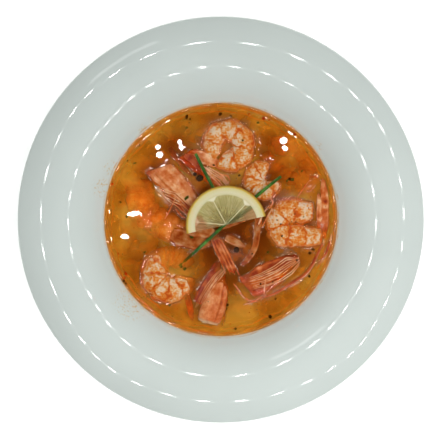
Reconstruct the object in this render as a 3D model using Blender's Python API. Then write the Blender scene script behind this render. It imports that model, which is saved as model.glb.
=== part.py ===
"""Tom yum soup in a wide-rimmed porcelain soup plate.

Run with: blender --background --python part.py

The plate stands on its foot ring at Z = 0 with its axis on Z. Prawns, prawn heads, half a lemon
slice and two chives lie in the broth. The broth is one solid with a hollow for everything that is
sunk in it, and each piece keeps a small gap to what it touches.
"""

import math

import bmesh
import bpy
from mathutils import Vector

MM = 0.001

# Driving dimensions, in millimetres.
PLATE_RADIUS = 140.0
RIM_CREST_HEIGHT = 44.4
RIM_CREST_RADIUS = 119.5  # where the arched rim is highest
RIM_ARCH = 42.0  # radius of the arch across the rim
WELL_ARCH = 44.0  # radius of the hollow curve between the rim and the floor
STEEPEST = math.radians(54.0)  # slope where the two curves meet
WALL = 4.6
LIP = WALL / 2
FOOT_OUTER = 57.0
FOOT_INNER = 51.0
FOOT_HEIGHT = 3.4
FOOT_BEVEL = 0.6  # how far the foot ring narrows to its flat face, on each side
BROTH_RADIUS = 81.0
GAP = 0.3  # clearance between neighbouring pieces
ROOM_GAP = 0.45  # clearance round what is sunk in the broth

ROUND_STEPS = 48  # facets round the plate
TURNED_CREASE = math.radians(35)  # edges bent more than this stay sharp
FOOD_CREASE = math.radians(50)
MERGE = 1e-6  # points nearer than this are one, in metres

LEMON_RADIUS = 28.2
LEMON_THICK = 4.0
CHIVE_RADIUS = 1.15
FEELER_RADIUS = 1.2


# ---------------------------------------------------------------- the curves of the plate

MEET_RADIUS = RIM_CREST_RADIUS - RIM_ARCH * math.sin(STEEPEST)
MEET_HEIGHT = RIM_CREST_HEIGHT - RIM_ARCH * (1 - math.cos(STEEPEST))
FLOOR_RADIUS = MEET_RADIUS - WELL_ARCH * math.sin(STEEPEST)
FLOOR_HEIGHT = MEET_HEIGHT - WELL_ARCH * (1 - math.cos(STEEPEST))


def well_height(radius):
    """Height of the plate's upper face inside the rim, at this distance from the axis."""
    run = max(0.0, radius - FLOOR_RADIUS)
    return FLOOR_HEIGHT + WELL_ARCH - math.sqrt(WELL_ARCH**2 - run**2)


BROTH_LEVEL = well_height(BROTH_RADIUS)


def rim_arc(offset, start, end, count):
    """Points on the rim's arch, offset above its face, from slope start to slope end."""
    centre_height = RIM_CREST_HEIGHT - RIM_ARCH
    radius = RIM_ARCH + offset
    slopes = [start + (end - start) * i / (count - 1) for i in range(count)]
    return [
        (RIM_CREST_RADIUS + radius * math.sin(s), centre_height + radius * math.cos(s))
        for s in slopes
    ]


def well_arc(offset, start, end, count):
    """Points on the well's curve, offset above its face, from slope start to slope end."""
    centre_height = FLOOR_HEIGHT + WELL_ARCH
    radius = WELL_ARCH - offset
    slopes = [start + (end - start) * i / (count - 1) for i in range(count)]
    return [
        (FLOOR_RADIUS + radius * math.sin(s), centre_height - radius * math.cos(s))
        for s in slopes
    ]


def plate_profile():
    """The plate's section, from the axis over its face, round the lip and back underneath."""
    edge_slope = math.asin((PLATE_RADIUS - LIP - RIM_CREST_RADIUS) / (RIM_ARCH - LIP))
    lip_centre = rim_arc(-LIP, edge_slope, edge_slope, 2)[0]
    lip_slopes = [edge_slope + math.radians(turn) for turn in (45, 90, 135)]
    lip = [
        (lip_centre[0] + LIP * math.sin(slope), lip_centre[1] + LIP * math.cos(slope))
        for slope in lip_slopes
    ]
    foot_slope = math.asin((FOOT_OUTER - FLOOR_RADIUS) / (WELL_ARCH + WALL))
    upper = well_arc(0, 0, STEEPEST, 6) + rim_arc(0, -STEEPEST, edge_slope, 8)[1:]
    under = rim_arc(-WALL, edge_slope, -STEEPEST, 5) + well_arc(-WALL, STEEPEST, foot_slope, 3)[1:]
    foot = [
        (FOOT_OUTER - FOOT_BEVEL, 0.0),
        (FOOT_INNER, 0.0),
        (FOOT_INNER - FOOT_BEVEL, FOOT_HEIGHT),
        (0.0, FOOT_HEIGHT),
    ]
    return [(0.0, FLOOR_HEIGHT)] + upper + lip + under + foot


def broth_profile():
    """The broth's section: its level face, then the underside a gap above the plate."""
    edge_slope = math.asin((BROTH_RADIUS - FLOOR_RADIUS) / WELL_ARCH)
    under = well_arc(GAP, edge_slope, 0, 6)
    edge = (under[0][0] - GAP, BROTH_LEVEL)
    return [(0.0, BROTH_LEVEL), edge] + under[1:] + [(0.0, FLOOR_HEIGHT + GAP)]


# ---------------------------------------------------------------- making objects


def material(name, colour, roughness):
    made = bpy.data.materials.new(name)
    made.use_nodes = True
    shader = made.node_tree.nodes["Principled BSDF"]
    shader.inputs["Base Color"].default_value = (*colour, 1.0)
    shader.inputs["Roughness"].default_value = roughness
    made.diffuse_color = (*colour, 1.0)
    return made


def add_object(name, mesh, finish):
    made = bpy.data.objects.new(name, mesh)
    bpy.context.scene.collection.objects.link(made)
    if finish is None:
        made.hide_render = True
        made.display_type = "WIRE"
    else:
        mesh.materials.append(finish)
    return made


def turned(name, profile, finish, smooth=True):
    """A solid of revolution about Z, spun from a section given from the axis outwards and back."""
    shape = bmesh.new()
    corners = [shape.verts.new((r * MM, 0, z * MM)) for r, z in profile]
    edges = [shape.edges.new(pair) for pair in zip(corners, corners[1:])]
    bmesh.ops.spin(
        shape,
        geom=corners + edges,
        cent=(0, 0, 0),
        axis=(0, 0, 1),
        angle=2 * math.pi,
        steps=ROUND_STEPS,
        use_duplicate=False,
    )
    bmesh.ops.remove_doubles(shape, verts=shape.verts, dist=MERGE)
    bmesh.ops.recalc_face_normals(shape, faces=shape.faces)
    mesh = bpy.data.meshes.new(name)
    shape.to_mesh(mesh)
    shape.free()
    if smooth:
        mesh.shade_smooth()
        mesh.set_sharp_from_angle(angle=TURNED_CREASE)
    return add_object(name, mesh, finish)


def skinned(name, rings, tips, finish):
    """A closed solid over rings of points, ending in a point at each end."""
    shape = bmesh.new()
    rows = [[shape.verts.new(p * MM) for p in ring] for ring in rings]
    for row, following in zip(rows, rows[1:]):
        for i in range(len(row)):
            j = (i + 1) % len(row)
            shape.faces.new((row[i], row[j], following[j], following[i]))
    for row, tip in ((rows[0], tips[0]), (rows[-1], tips[1])):
        pole = shape.verts.new(tip * MM)
        for i in range(len(row)):
            shape.faces.new((row[i], row[(i + 1) % len(row)], pole))
    bmesh.ops.recalc_face_normals(shape, faces=shape.faces)
    mesh = bpy.data.meshes.new(name)
    shape.to_mesh(mesh)
    shape.free()
    mesh.shade_smooth()
    mesh.set_sharp_from_angle(angle=FOOD_CREASE)
    return add_object(name, mesh, finish)


def join(target, other):
    step = target.modifiers.new(f"join {other.name}", "BOOLEAN")
    step.operation = "UNION"
    step.object = other
    step.solver = "EXACT"


def cut_all(target, cutters):
    """Takes every cutter out of the target in one step."""
    group = bpy.data.collections.new(f"{target.name}_cutters")
    bpy.context.scene.collection.children.link(group)
    for cutter in cutters:
        group.objects.link(cutter)
    step = target.modifiers.new("cut", "BOOLEAN")
    step.operation = "DIFFERENCE"
    step.operand_type = "COLLECTION"
    step.collection = group
    step.solver = "EXACT"


# ---------------------------------------------------------------- paths that pieces follow


def eased(values, t):
    """A smooth run through evenly spaced values, at t from 0 to 1."""
    place = min(max(t, 0.0), 1.0) * (len(values) - 1)
    i = min(int(place), len(values) - 2)
    u = place - i
    u = u * u * (3 - 2 * u)
    return values[i] * (1 - u) + values[i + 1] * u


def trail(start, heading, bends, levels):
    """A path of circular arcs seen from above, as a function of t from 0 to 1.

    bends holds (length, turn in degrees) for each arc, and levels the heights along it.
    """
    total = sum(length for length, _ in bends)

    def at(t):
        x, y = start
        angle = math.radians(heading)
        left = t * total
        for length, turn in bends:
            part = min(left, length)
            rate = math.radians(turn) / length
            if abs(rate) < 1e-6:
                x += part * math.cos(angle)
                y += part * math.sin(angle)
            else:
                x += (math.sin(angle + rate * part) - math.sin(angle)) / rate
                y -= (math.cos(angle + rate * part) - math.cos(angle)) / rate
            angle += rate * part
            left -= part
            if left <= 0:
                break
        return Vector((x, y, eased(levels, t)))

    return at


def frames(path, places):
    """(point, direction, side, up) at each place. The side points to the right of the path."""
    found = []
    for t in places:
        before, after = path(max(t - 0.01, 0.0)), path(min(t + 0.01, 1.0))
        direction = (after - before).normalized()
        side = direction.cross(Vector((0, 0, 1))).normalized()
        found.append((path(t), direction, side, side.cross(direction)))
    return found


def section(frame, across, tall, sides, inner_share=1.0):
    """A ring of points round a frame, across wide to each side and tall up and down.

    inner_share shortens the half of the ring that lies on the inner side of a bend.
    """
    point, _, side, up = frame
    ring = []
    for i in range(sides):
        angle = 2 * math.pi * i / sides
        out = math.cos(angle) * across
        out *= inner_share if out < 0 else 1.0
        ring.append(point + side * out + up * math.sin(angle) * tall)
    return ring


# ---------------------------------------------------------------- a peeled prawn tail

PRAWN_SIDES = 8
PRAWN_SEGMENTS = 6
INNER_SHARE = 0.9  # the belly is a little shallower than the back
NECK_POINT = 1.2  # how far the cut neck bulges
TAIL_POINT = 1.0
# Share of the full girth at the neck, along the body and at the end of the tail.
BODY_TAPER = (0.80, 0.98, 1.0, 0.98, 0.94, 0.86, 0.70)
# (place within a body segment, share of the girth): each segment overlaps the next a little.
SEGMENT_STEPS = ((0.05, 0.93), (0.45, 1.03), (0.92, 1.0))


def prawn(name, start, heading, bends, levels, girth, thick, finish, swell=0.0):
    """A curled, peeled prawn lying on its side.

    girth is half its height from back to belly, thick half its width, and swell widens it all
    round, for the hollow that it takes up in the broth.
    """
    back = 1 if sum(turn for _, turn in bends) > 0 else -1
    path = trail(start, heading, bends, levels)
    steps = [
        ((segment + place) / PRAWN_SEGMENTS, share)
        for segment in range(PRAWN_SEGMENTS)
        for place, share in SEGMENT_STEPS
    ]
    rings = []
    for frame, (t, share) in zip(frames(path, [t for t, _ in steps]), steps):
        size = eased(BODY_TAPER, t) * share
        point, direction, side, up = frame
        outward = (point, direction, side * back, up)
        wide, tall = girth * size + swell, thick * size + swell
        rings.append(section(outward, wide, tall, PRAWN_SIDES, INNER_SHARE))
    neck, tail = frames(path, (0.0, 1.0))
    tips = (neck[0] - neck[1] * (NECK_POINT + swell), tail[0] + tail[1] * (TAIL_POINT + swell))
    return skinned(name, rings, tips, finish)


# start and heading of the neck, arcs as (length, turn), heights, half height, half width.
PRAWNS = {
    "prawn_top": ((-1.0, 41.5), -30, ((68.4, 338),), (19.2, 19.4, 19.2, 18.8, 18.4), 8.1, 6.4),
    "prawn_middle": ((32.6, 34.3), 160, ((38.0, 288),), (19.4, 19.4, 19.2, 18.0), 7.7, 6.2),
    "prawn_right": (
        (64.4, 6.4), 178, ((15.5, 0), (31.2, 182), (22, 0)), (19.0, 18.8, 18.6, 19.0, 19.6), 8.2, 6.5
    ),
    "prawn_left": (
        (-57.4, 28.0), -90, ((14, 4), (20, 60), (26, 0)), (16.3, 15.9, 16.8, 18.4, 19.4), 9.2, 4.3
    ),
    "prawn_lower": ((-38.0, -26.2), 190, ((52.4, 250),), (15.2, 18.0, 19.2, 19.2, 17.6), 8.8, 6.2),
}


# ---------------------------------------------------------------- flat limbs, blades and strips

LIMB_TAPER = (0.75, 1.0, 1.0, 0.95, 0.8, 0.45)
LIMB_SIDES = 6
LIMB_ROOT = 0.8  # how far each end runs to a point
LIMB_TIP = 1.6


def limb(name, start, heading, bends, levels, wide, thick, finish, swell=0.0):
    """A flat tapering strip: a tail blade, a strip of shell or a bundle of legs."""
    path = trail(start, heading, bends, levels)
    places = [i / (len(LIMB_TAPER) - 1) for i in range(len(LIMB_TAPER))]
    rings = [
        section(frame, wide * share + swell, thick * share + swell, LIMB_SIDES)
        for frame, share in zip(frames(path, places), LIMB_TAPER)
    ]
    first, last = frames(path, (0.0, 1.0))
    tips = (first[0] - first[1] * (LIMB_ROOT + swell), last[0] + last[1] * (LIMB_TIP + swell))
    return skinned(name, rings, tips, finish)


# start, heading, arcs, heights, half width and half thickness of each blade of the tail fan.
TAIL_FAN = (
    ((71.8, -12.6), 86, ((22, 4), (18, 6)), (19.8, 22.8, 23.2, 23.2), 3.2, 1.5),
    ((70.4, -11.0), 96, ((28, -4),), (20.0, 22.9, 23.4), 2.3, 1.4),
)

STRIPS = {
    "legs_middle": ((-3.4, -14.6), -61, ((25, 2),), (22.4, 22.5, 22.3), 4.3, 1.5),
    "shell_strip": ((25.3, -1.4), -86, ((13, -12), (20, -44)), (22.2, 22.6, 22.2), 2.4, 1.2),
    "tail_blade": ((3.8, -12.6), -28, ((14, 4),), (22.2, 22.2, 21.8), 3.0, 1.1),
}


# ---------------------------------------------------------------- a prawn's head in its shell

HEAD_SIDES = 10
BEAK = 3.5  # length of the point at the front
# (place, share of the width, share of the thickness) from the open neck to the beak.
HEAD_SHAPE = (
    (0.0, 0.93, 0.88),
    (0.14, 1.0, 1.0),
    (0.36, 1.0, 1.0),
    (0.58, 0.90, 0.92),
    (0.76, 0.68, 0.72),
    (0.9, 0.42, 0.46),
    (1.0, 0.2, 0.2),
)


def head(name, start, heading, bends, levels, girth, thick, slant, hollow, finish, swell=0.0):
    """A head in its shell, lying on its side.

    slant is how far the right side of the neck's edge reaches back, as a share of its width, and
    hollow is the depth of the open neck, which is closed where swell makes the hollow in the broth.
    """
    path = trail(start, heading, bends, levels)
    rings = []
    for frame, (t, wide, tall) in zip(frames(path, [t for t, _, _ in HEAD_SHAPE]), HEAD_SHAPE):
        point, direction, side, up = frame
        sheared = (point, direction, side - direction * slant * (1 - t) ** 2, up)
        rings.append(section(sheared, girth * wide + swell, thick * tall + swell, HEAD_SIDES, INNER_SHARE))
    neck, beak = frames(path, (0.0, 1.0))
    depth = -swell if swell else hollow
    tips = (neck[0] + neck[1] * depth, beak[0] + beak[1] * (BEAK + swell))
    return skinned(name, rings, tips, finish)


# start and heading of the neck, arcs, heights, half height, half width, slant, depth of the neck.
HEADS = {
    "head_upper": ((-43.1, 36.4), -46, ((49, -6),), (19.4, 19.0, 17.8), 10.0, 6.2, 0.45, 4.0),
    "head_behind": ((-24.8, 46.4), -41, ((32, -4),), (17.4, 17.6, 17.6), 6.4, 5.6, 0.3, 3.0),
    "head_lower": ((-9.0, -70.4), 68, ((33, 6),), (23.4, 20.2, 17.4), 8.9, 6.0, -0.1, 1.2),
    "head_right": ((17.4, -47.0), 19, ((38, 14),), (18.4, 18.4, 18.6), 9.6, 5.2, -0.4, 3.0),
}

# The bundle of legs beside each head: start, heading, arcs, heights, half width, half thickness.
LEG_BUNDLES = {
    "head_upper": ((-39.6, 22.0), -40, ((46, -8),), (21.4, 22.2, 21.6), 4.4, 2.4),
    "head_behind": ((-14.0, 33.6), -38, ((20, 0),), (19.6, 20.4, 20.8), 3.6, 2.4),
    "head_lower": ((-14.4, -58.0), 60, ((32, 10),), (23.8, 22.2, 19.2), 3.2, 2.4),
    "head_right": ((22.0, -40.6), 22, ((34, 6),), (21.6, 22.4, 21.4), 6.2, 2.6),
}


# ---------------------------------------------------------------- garnish

LEMON_CENTRE = Vector((3.8, -3.7, 28.2))
LEMON_CUT = 12.6  # direction of the straight cut, in degrees
LEMON_DEPTH = 0.97  # the slice reaches this share of its radius from the cut
LEMON_STEPS = 24
RIND_ROUNDING = 0.5


def lemon_slice(name, finish):
    """Half a slice of lemon: a straight cut along X and a round edge above it."""
    turns = [math.pi * i / LEMON_STEPS for i in range(LEMON_STEPS + 1)]
    outline = [
        (LEMON_RADIUS * math.cos(turn), LEMON_RADIUS * LEMON_DEPTH * math.sin(turn)) for turn in turns
    ]
    inner = 1 - RIND_ROUNDING / LEMON_RADIUS
    layers = ((0.0, inner), (LEMON_THICK / 2, 1.0), (LEMON_THICK, inner))
    shape = bmesh.new()
    rows = [
        [shape.verts.new(Vector((x * share, y * share, z)) * MM) for x, y in outline]
        for z, share in layers
    ]
    count = len(outline)
    for row, following in zip(rows, rows[1:]):
        for i in range(count):
            j = (i + 1) % count
            shape.faces.new((row[i], row[j], following[j], following[i]))
    shape.faces.new(rows[0][::-1])
    shape.faces.new(rows[-1])
    bmesh.ops.recalc_face_normals(shape, faces=shape.faces)
    mesh = bpy.data.meshes.new(name)
    shape.to_mesh(mesh)
    shape.free()
    made = add_object(name, mesh, finish)
    made.location = LEMON_CENTRE * MM
    made.rotation_euler.z = math.radians(LEMON_CUT)
    return made


# start, heading, arcs, heights and radius of each thin round stalk.
STALKS = {
    "chive_long": (
        (42.0, 30.2), 218, ((50, 5), (45, -1)), (27.0, 26.8, 26.6, 23.6, 18.4), CHIVE_RADIUS
    ),
    "chive_short": ((-17.6, 46.0), -64, ((38, 4),), (26.2, 26.8, 26.8), CHIVE_RADIUS),
    "feeler": (
        (71.0, -17.4), -116, ((16, 0), (12, -32), (18, 0), (13, -24)), (22.4, 22.2, 22.0), FEELER_RADIUS
    ),
}
STALK_RINGS = 10
STALK_SIDES = 6
STALK_POINT = 0.2


def stalk(name, start, heading, bends, levels, radius, finish, swell=0.0):
    path = trail(start, heading, bends, levels)
    places = [i / (STALK_RINGS - 1) for i in range(STALK_RINGS)]
    rings = [section(frame, radius + swell, radius + swell, STALK_SIDES) for frame in frames(path, places)]
    first, last = frames(path, (0.0, 1.0))
    tips = (first[0] - first[1] * (STALK_POINT + swell), last[0] + last[1] * (STALK_POINT + swell))
    return skinned(name, rings, tips, finish)


# ---------------------------------------------------------------- the whole dish


def clear_scene():
    for old in list(bpy.data.objects):
        bpy.data.objects.remove(old)


def room(make, name, values):
    """The hollow that a piece takes up in the broth, a gap wider than the piece."""
    return make(f"{name}_room", *values, finish=None, swell=ROOM_GAP)


def main():
    clear_scene()
    porcelain = material("porcelain", (0.62, 0.66, 0.63), 0.12)
    broth_finish = material("broth", (0.42, 0.16, 0.02), 0.08)
    flesh = material("prawn flesh", (0.80, 0.42, 0.20), 0.35)
    shell = material("prawn shell", (0.75, 0.28, 0.16), 0.30)
    lemon = material("lemon", (0.72, 0.70, 0.30), 0.35)
    green = material("chive", (0.06, 0.18, 0.03), 0.35)
    red = material("prawn feeler", (0.55, 0.10, 0.04), 0.30)

    turned("plate", plate_profile(), porcelain)
    broth = turned("broth", broth_profile(), broth_finish, smooth=False)

    rooms = []
    for name, values in PRAWNS.items():
        body = prawn(name, *values, finish=flesh)
        rooms.append(room(prawn, name, values))
        if name == "prawn_right":
            for i, blade in enumerate(TAIL_FAN):
                join(body, limb(f"tail_fan_{i}", *blade, finish=None))
                rooms.append(room(limb, f"tail_fan_{i}", blade))
    for name, values in HEADS.items():
        body = head(name, *values, finish=shell)
        rooms.append(room(head, name, values))
        legs = LEG_BUNDLES[name]
        join(body, limb(f"{name}_legs", *legs, finish=None))
        rooms.append(room(limb, f"{name}_legs", legs))
    for name, values in STRIPS.items():
        limb(name, *values, finish=shell)
        rooms.append(room(limb, name, values))
    for name, values in STALKS.items():
        stalk(name, *values, finish=red if name == "feeler" else green)
        rooms.append(room(stalk, name, values))
    cut_all(broth, rooms)
    lemon_slice("lemon_slice", lemon)


main()
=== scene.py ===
# %% [markdown]
# # Tom yum soup in a wide soup plate
#
# The real thing is a deep white plate with a broad arched rim. A shallow pool of clear, oily, amber
# broth lies in it, with curled prawns, prawn heads in their shells, half a slice of lemon and two
# chives. Most of the food is half sunk, so its colour comes through the broth.
#
# This lesson dresses a model that is already built at its real size. Each step says what a piece is
# on the real dish, and why it is made the way it is. The first step loads that model.

# %% Load the frame
import math
from functools import partial

import bmesh
import bpy
import numpy as np
from mathutils import Matrix, Vector, kdtree, noise
from mathutils.bvhtree import BVHTree


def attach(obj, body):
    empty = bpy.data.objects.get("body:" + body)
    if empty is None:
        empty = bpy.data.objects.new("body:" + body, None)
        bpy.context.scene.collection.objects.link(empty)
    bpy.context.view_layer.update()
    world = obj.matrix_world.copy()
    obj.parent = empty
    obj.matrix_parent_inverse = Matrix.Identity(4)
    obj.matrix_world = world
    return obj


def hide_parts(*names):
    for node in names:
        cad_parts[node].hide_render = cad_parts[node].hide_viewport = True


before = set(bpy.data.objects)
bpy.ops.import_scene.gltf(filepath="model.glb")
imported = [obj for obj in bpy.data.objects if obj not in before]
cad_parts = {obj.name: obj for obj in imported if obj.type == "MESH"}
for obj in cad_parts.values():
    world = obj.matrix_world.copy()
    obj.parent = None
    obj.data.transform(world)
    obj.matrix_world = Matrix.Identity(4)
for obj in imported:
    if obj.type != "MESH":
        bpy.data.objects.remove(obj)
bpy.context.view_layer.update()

MM = 0.001
print("nodes:", ", ".join(sorted(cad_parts)))

# %% [markdown]
# ## A few small tools
#
# Sizes are easiest to think of in millimetres, so points are made in millimetres and scaled once,
# when they become a mesh. Colours are easiest to name as hex values, which are sRGB, so one function
# turns them to the linear values that a shader needs.
#
# One function adds a node, whatever its kind, with its settings and links. Its inputs are given by name,
# or in the order in which the node shows them. So a Math node takes (a, b), a Mix node takes (share,
# first colour, second colour), and a Map Range node takes (value, from low, from high, to low, to high).

# %% Tools for meshes, colours and nodes


def placed(name, data):
    """A new object in the scene for a mesh, a lamp or a camera."""
    made = bpy.data.objects.new(name, data)
    bpy.context.scene.collection.objects.link(made)
    return made


def settled(name, shape):
    """Turns a finished bmesh into a smooth-shaded object."""
    mesh = bpy.data.meshes.new(name)
    shape.to_mesh(mesh)
    shape.free()
    mesh.shade_smooth()
    return placed(name, mesh)


def piece(name, points, faces):
    """An object from points in millimetres, with its faces pointing out."""
    shape = bmesh.new()
    corners = [shape.verts.new(Vector(p) * MM) for p in points]
    for face in faces:
        shape.faces.new([corners[i] for i in face])
    bmesh.ops.recalc_face_normals(shape, faces=shape.faces)
    return settled(name, shape)


def note(made, name, values):
    """Writes one number or vector for each point of a mesh, for its material to read."""
    values = np.asarray(values, np.float32)
    kind, part = ("FLOAT", "value") if values.ndim == 1 else ("FLOAT_VECTOR", "vector")
    layer = made.data.attributes.new(name, kind, "POINT")
    layer.data.foreach_set(part, values.ravel())


def colour(code):
    """A hex colour such as #c8641a, as linear red, green, blue and alpha."""
    parts = [int(code[i : i + 2], 16) / 255 for i in (1, 3, 5)]
    linear = [p / 12.92 if p <= 0.04045 else ((p + 0.055) / 1.055) ** 2.4 for p in parts]
    return (*linear, 1.0)


def feed(made, values):
    """Fills a node's inputs with numbers, hex colours, outputs, or the first output of other nodes."""
    if isinstance(values, dict):
        pairs = [(made.inputs[key], value) for key, value in values.items()]
    else:
        pairs = zip([socket for socket in made.inputs if socket.enabled], values)
    for socket, value in pairs:
        if isinstance(value, bpy.types.Node):
            value = next(output for output in value.outputs if output.enabled)
        if isinstance(value, bpy.types.NodeSocket):
            made.id_data.links.new(value, socket)
        else:
            is_colour = isinstance(value, str) and value.startswith("#")
            socket.default_value = colour(value) if is_colour else value


def add(tree, kind, values=(), stops=(), **settings):
    """Adds a node of any kind to a tree. stops are the (place, hex colour) pairs of a colour ramp."""
    if not kind.startswith(("Geometry", "Function", "Shader", "NodeGroup")):
        kind = "ShaderNode" + kind
    made = tree.nodes.new(kind)
    for name, value in settings.items():
        setattr(made, name, value)
    if stops:
        band = made.color_ramp.elements
        while len(band) < len(stops):
            band.new(0.5)
        for element, (place, code) in zip(band, stops):
            element.position = place
            element.color = colour(code)
    feed(made, values)
    return made


def finish(name):
    """A new material, the function that adds nodes to it, and its Principled shader."""
    made = bpy.data.materials.new(name)
    made.use_nodes = True
    tree = made.node_tree
    return made, partial(add, tree), tree.nodes["Principled BSDF"]


def shown(made, material):
    """Gives a piece its material and puts it under the dish's root body, so it moves with the dish."""
    made.data.materials.clear()
    made.data.materials.append(material)
    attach(made, "root")
    triangles = sum(len(p.vertices) - 2 for p in made.data.polygons)
    print(f"{made.name}: {triangles} triangles")
    return made


# %% [markdown]
# ## The curves of the plate
#
# A soup plate is thrown or pressed between two arcs. The rim is an arch 42 mm in radius, and the well
# is a hollow curve 44 mm in radius, and they meet where both slope at 54 degrees. The same few sizes
# drive the solid model, and they are repeated here so that the glazed surface lies exactly on it.

# %% Sizes of the plate
PLATE_RADIUS = 140.0
RIM_CREST_HEIGHT = 44.4
RIM_CREST_RADIUS = 119.5
RIM_ARCH = 42.0
WELL_ARCH = 44.0
STEEPEST = math.radians(54)
WALL = 4.6
LIP = WALL / 2
FOOT_OUTER = 57.0
FOOT_INNER = 51.0
FOOT_HEIGHT = 3.4
BROTH_RADIUS = 81.0

MEET_RADIUS = RIM_CREST_RADIUS - RIM_ARCH * math.sin(STEEPEST)
MEET_HEIGHT = RIM_CREST_HEIGHT - RIM_ARCH * (1 - math.cos(STEEPEST))
FLOOR_RADIUS = MEET_RADIUS - WELL_ARCH * math.sin(STEEPEST)
FLOOR_HEIGHT = MEET_HEIGHT - WELL_ARCH * (1 - math.cos(STEEPEST))


def well_height(radius):
    """Height of the plate's upper face inside the rim."""
    run = max(0.0, radius - FLOOR_RADIUS)
    return FLOOR_HEIGHT + WELL_ARCH - math.sqrt(WELL_ARCH**2 - run**2)


BROTH_LEVEL = well_height(BROTH_RADIUS)
print(f"the broth stands {BROTH_LEVEL - FLOOR_HEIGHT:.1f} mm deep, {2 * BROTH_RADIUS:.0f} mm across")

# %% [markdown]
# ## Camera and light
#
# The dish is seen from straight above. It stands under a square rig of short lamp bars at about the
# camera's height. A glazed rim is a curved mirror, so each bar shows in it twice, as two rings of fine
# white dashes, and the same bars draw the dotted lines round everything that breaks the broth's
# surface. A few small lamps higher up show as white spots on the flat broth. All these lamps are only
# there to be mirrored: they give no diffuse light, so they can be as bright as real ones.
#
# The even light comes from a pale sky that is brighter on one side. That shades the rim and the inner
# wall softly, and it also reaches what lies under the broth, which a small lamp hardly does.

# %% Camera
CAMERA_HEIGHT = 0.9427
SENSOR_WIDTH = 36.0
LENS = 107.45
SHIFT_RIGHT, SHIFT_UP = -0.0018182, -0.0009091  # shares of the view's width

view = bpy.data.cameras.new("camera")
view.sensor_width = SENSOR_WIDTH
view.lens = LENS
view.shift_x = SHIFT_RIGHT
view.shift_y = SHIFT_UP
camera = placed("camera", view)
camera.location = (0, 0, CAMERA_HEIGHT)
bpy.context.scene.camera = camera
bpy.context.scene.view_settings.view_transform = "Standard"

# %% Lamps that only show as highlights
RIG_RIGHT, RIG_LEFT, RIG_BACK, RIG_FRONT = 0.55, -0.43, 0.36, -0.52
RIG_HEIGHT = 1.0
BARS_PER_SIDE = 9
BAR_LENGTH = 0.03
BAR_WIDTH = 0.024
BAR_BRIGHTNESS = 60.0
SPOT_HEIGHT = 1.5
SPOT_BRIGHTNESS = 75.0
DISH_MIDDLE = (0, 0, 0.03)


def lamp(name, place, toward, along, size, brightness):
    """A rectangular lamp seen only in reflections. along is the direction of its first side."""
    light = bpy.data.lights.new(name, "AREA")
    light.shape = "RECTANGLE"
    light.size, light.size_y = size
    light.energy = brightness * size[0] * size[1] * math.pi
    away = (Vector(place) - Vector(toward)).normalized()
    side = (Vector(along) - away * away.dot(Vector(along))).normalized()
    made = placed(name, light)
    made.location = place
    made.rotation_euler = Matrix((side, away.cross(side), away)).transposed().to_euler()
    made.visible_diffuse = False
    made.visible_transmission = False
    made.visible_volume_scatter = False
    return made


corners = (
    (RIG_RIGHT, RIG_FRONT, RIG_HEIGHT),
    (RIG_RIGHT, RIG_BACK, RIG_HEIGHT),
    (RIG_LEFT, RIG_BACK, RIG_HEIGHT),
    (RIG_LEFT, RIG_FRONT, RIG_HEIGHT),
)

# The broth's small slopes mirror a bar as a dot thinner than a hair, so the bars lit for it are brighter.
WET_BRIGHTNESS = 600.0
broth_only = bpy.data.collections.new("mirrored by the broth alone")
for side, (start, end) in enumerate(zip(corners, corners[1:] + corners[:1])):
    along = Vector(end) - Vector(start)
    for i in range(BARS_PER_SIDE):
        place = Vector(start) + along * (i + 0.5) / BARS_PER_SIDE
        size = (BAR_LENGTH, BAR_WIDTH)
        lamp(f"bar_{side}_{i}", place, DISH_MIDDLE, along, size, BAR_BRIGHTNESS)
        wet = lamp(f"wet_bar_{side}_{i}", place, DISH_MIDDLE, along, size, WET_BRIGHTNESS)
        wet.light_linking.receiver_collection = broth_only

# Where the bright spots lie on the broth: x, y, width, length and turn, in millimetres and degrees.
SPOTS = (
    (-43.9, 50.9, 3.6, 3.0, 0),
    (-42.6, 45.4, 4.2, 3.8, 0),
    (-41.8, 37.9, 5.4, 2.2, 12),
    (-28.8, 54.5, 2.9, 2.8, 0),
    (-28.0, 51.0, 2.6, 3.4, 0),
    (-29.4, 47.6, 2.0, 3.0, -35),
    (-61.0, 4.4, 9.0, 2.8, 8),
    (-67.3, -12.0, 5.6, 3.2, -4),
    (44.0, 55.7, 4.6, 4.8, 0),
    (44.9, 50.2, 4.2, 3.0, -35),
    (25.9, 58.2, 2.2, 2.2, 0),
)
for i, (x, y, width, length, turn) in enumerate(SPOTS):
    at = Vector((x, y, BROTH_LEVEL)) * MM
    ray = at - camera.location
    mirrored = Vector((ray.x, ray.y, -ray.z)).normalized()
    far = (SPOT_HEIGHT - at.z) / mirrored.z
    grow = MM * (1 + far / ray.length)
    along = (math.cos(math.radians(turn)), math.sin(math.radians(turn)), 0)
    small = (width * grow, length * grow)
    made = lamp(f"spot_{i}", at + mirrored * far, at, along, small, SPOT_BRIGHTNESS)
    made.data.shape = "ELLIPSE"
    made.light_linking.receiver_collection = broth_only

# A broad pale panel behind on the left, seen as a soft arc on the inner wall.
PANEL_PLACE, PANEL_LINE, PANEL_SIZE = (-0.42, 0.68, 1.0), (0.85, 0.5, 0), (0.34, 0.12)
PANEL_BRIGHTNESS = 2.2
lamp("panel", PANEL_PLACE, DISH_MIDDLE, PANEL_LINE, PANEL_SIZE, PANEL_BRIGHTNESS)

# A soft box low over the front right gives the rest of the even light, and shows in no mirror. Being
# low, it lights the near side of the plate more than the far side.
BOX_PLACE, BELOW_BOX, BOX_SIZE = (0.10, -0.13, 0.50), (0.10, -0.13, 0.0), (0.28, 0.28)
BOX_BRIGHTNESS = 5.0
SIDEWAYS = (1, 0, 0)
box = lamp("soft_box", BOX_PLACE, BELOW_BOX, SIDEWAYS, BOX_SIZE, BOX_BRIGHTNESS)

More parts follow.
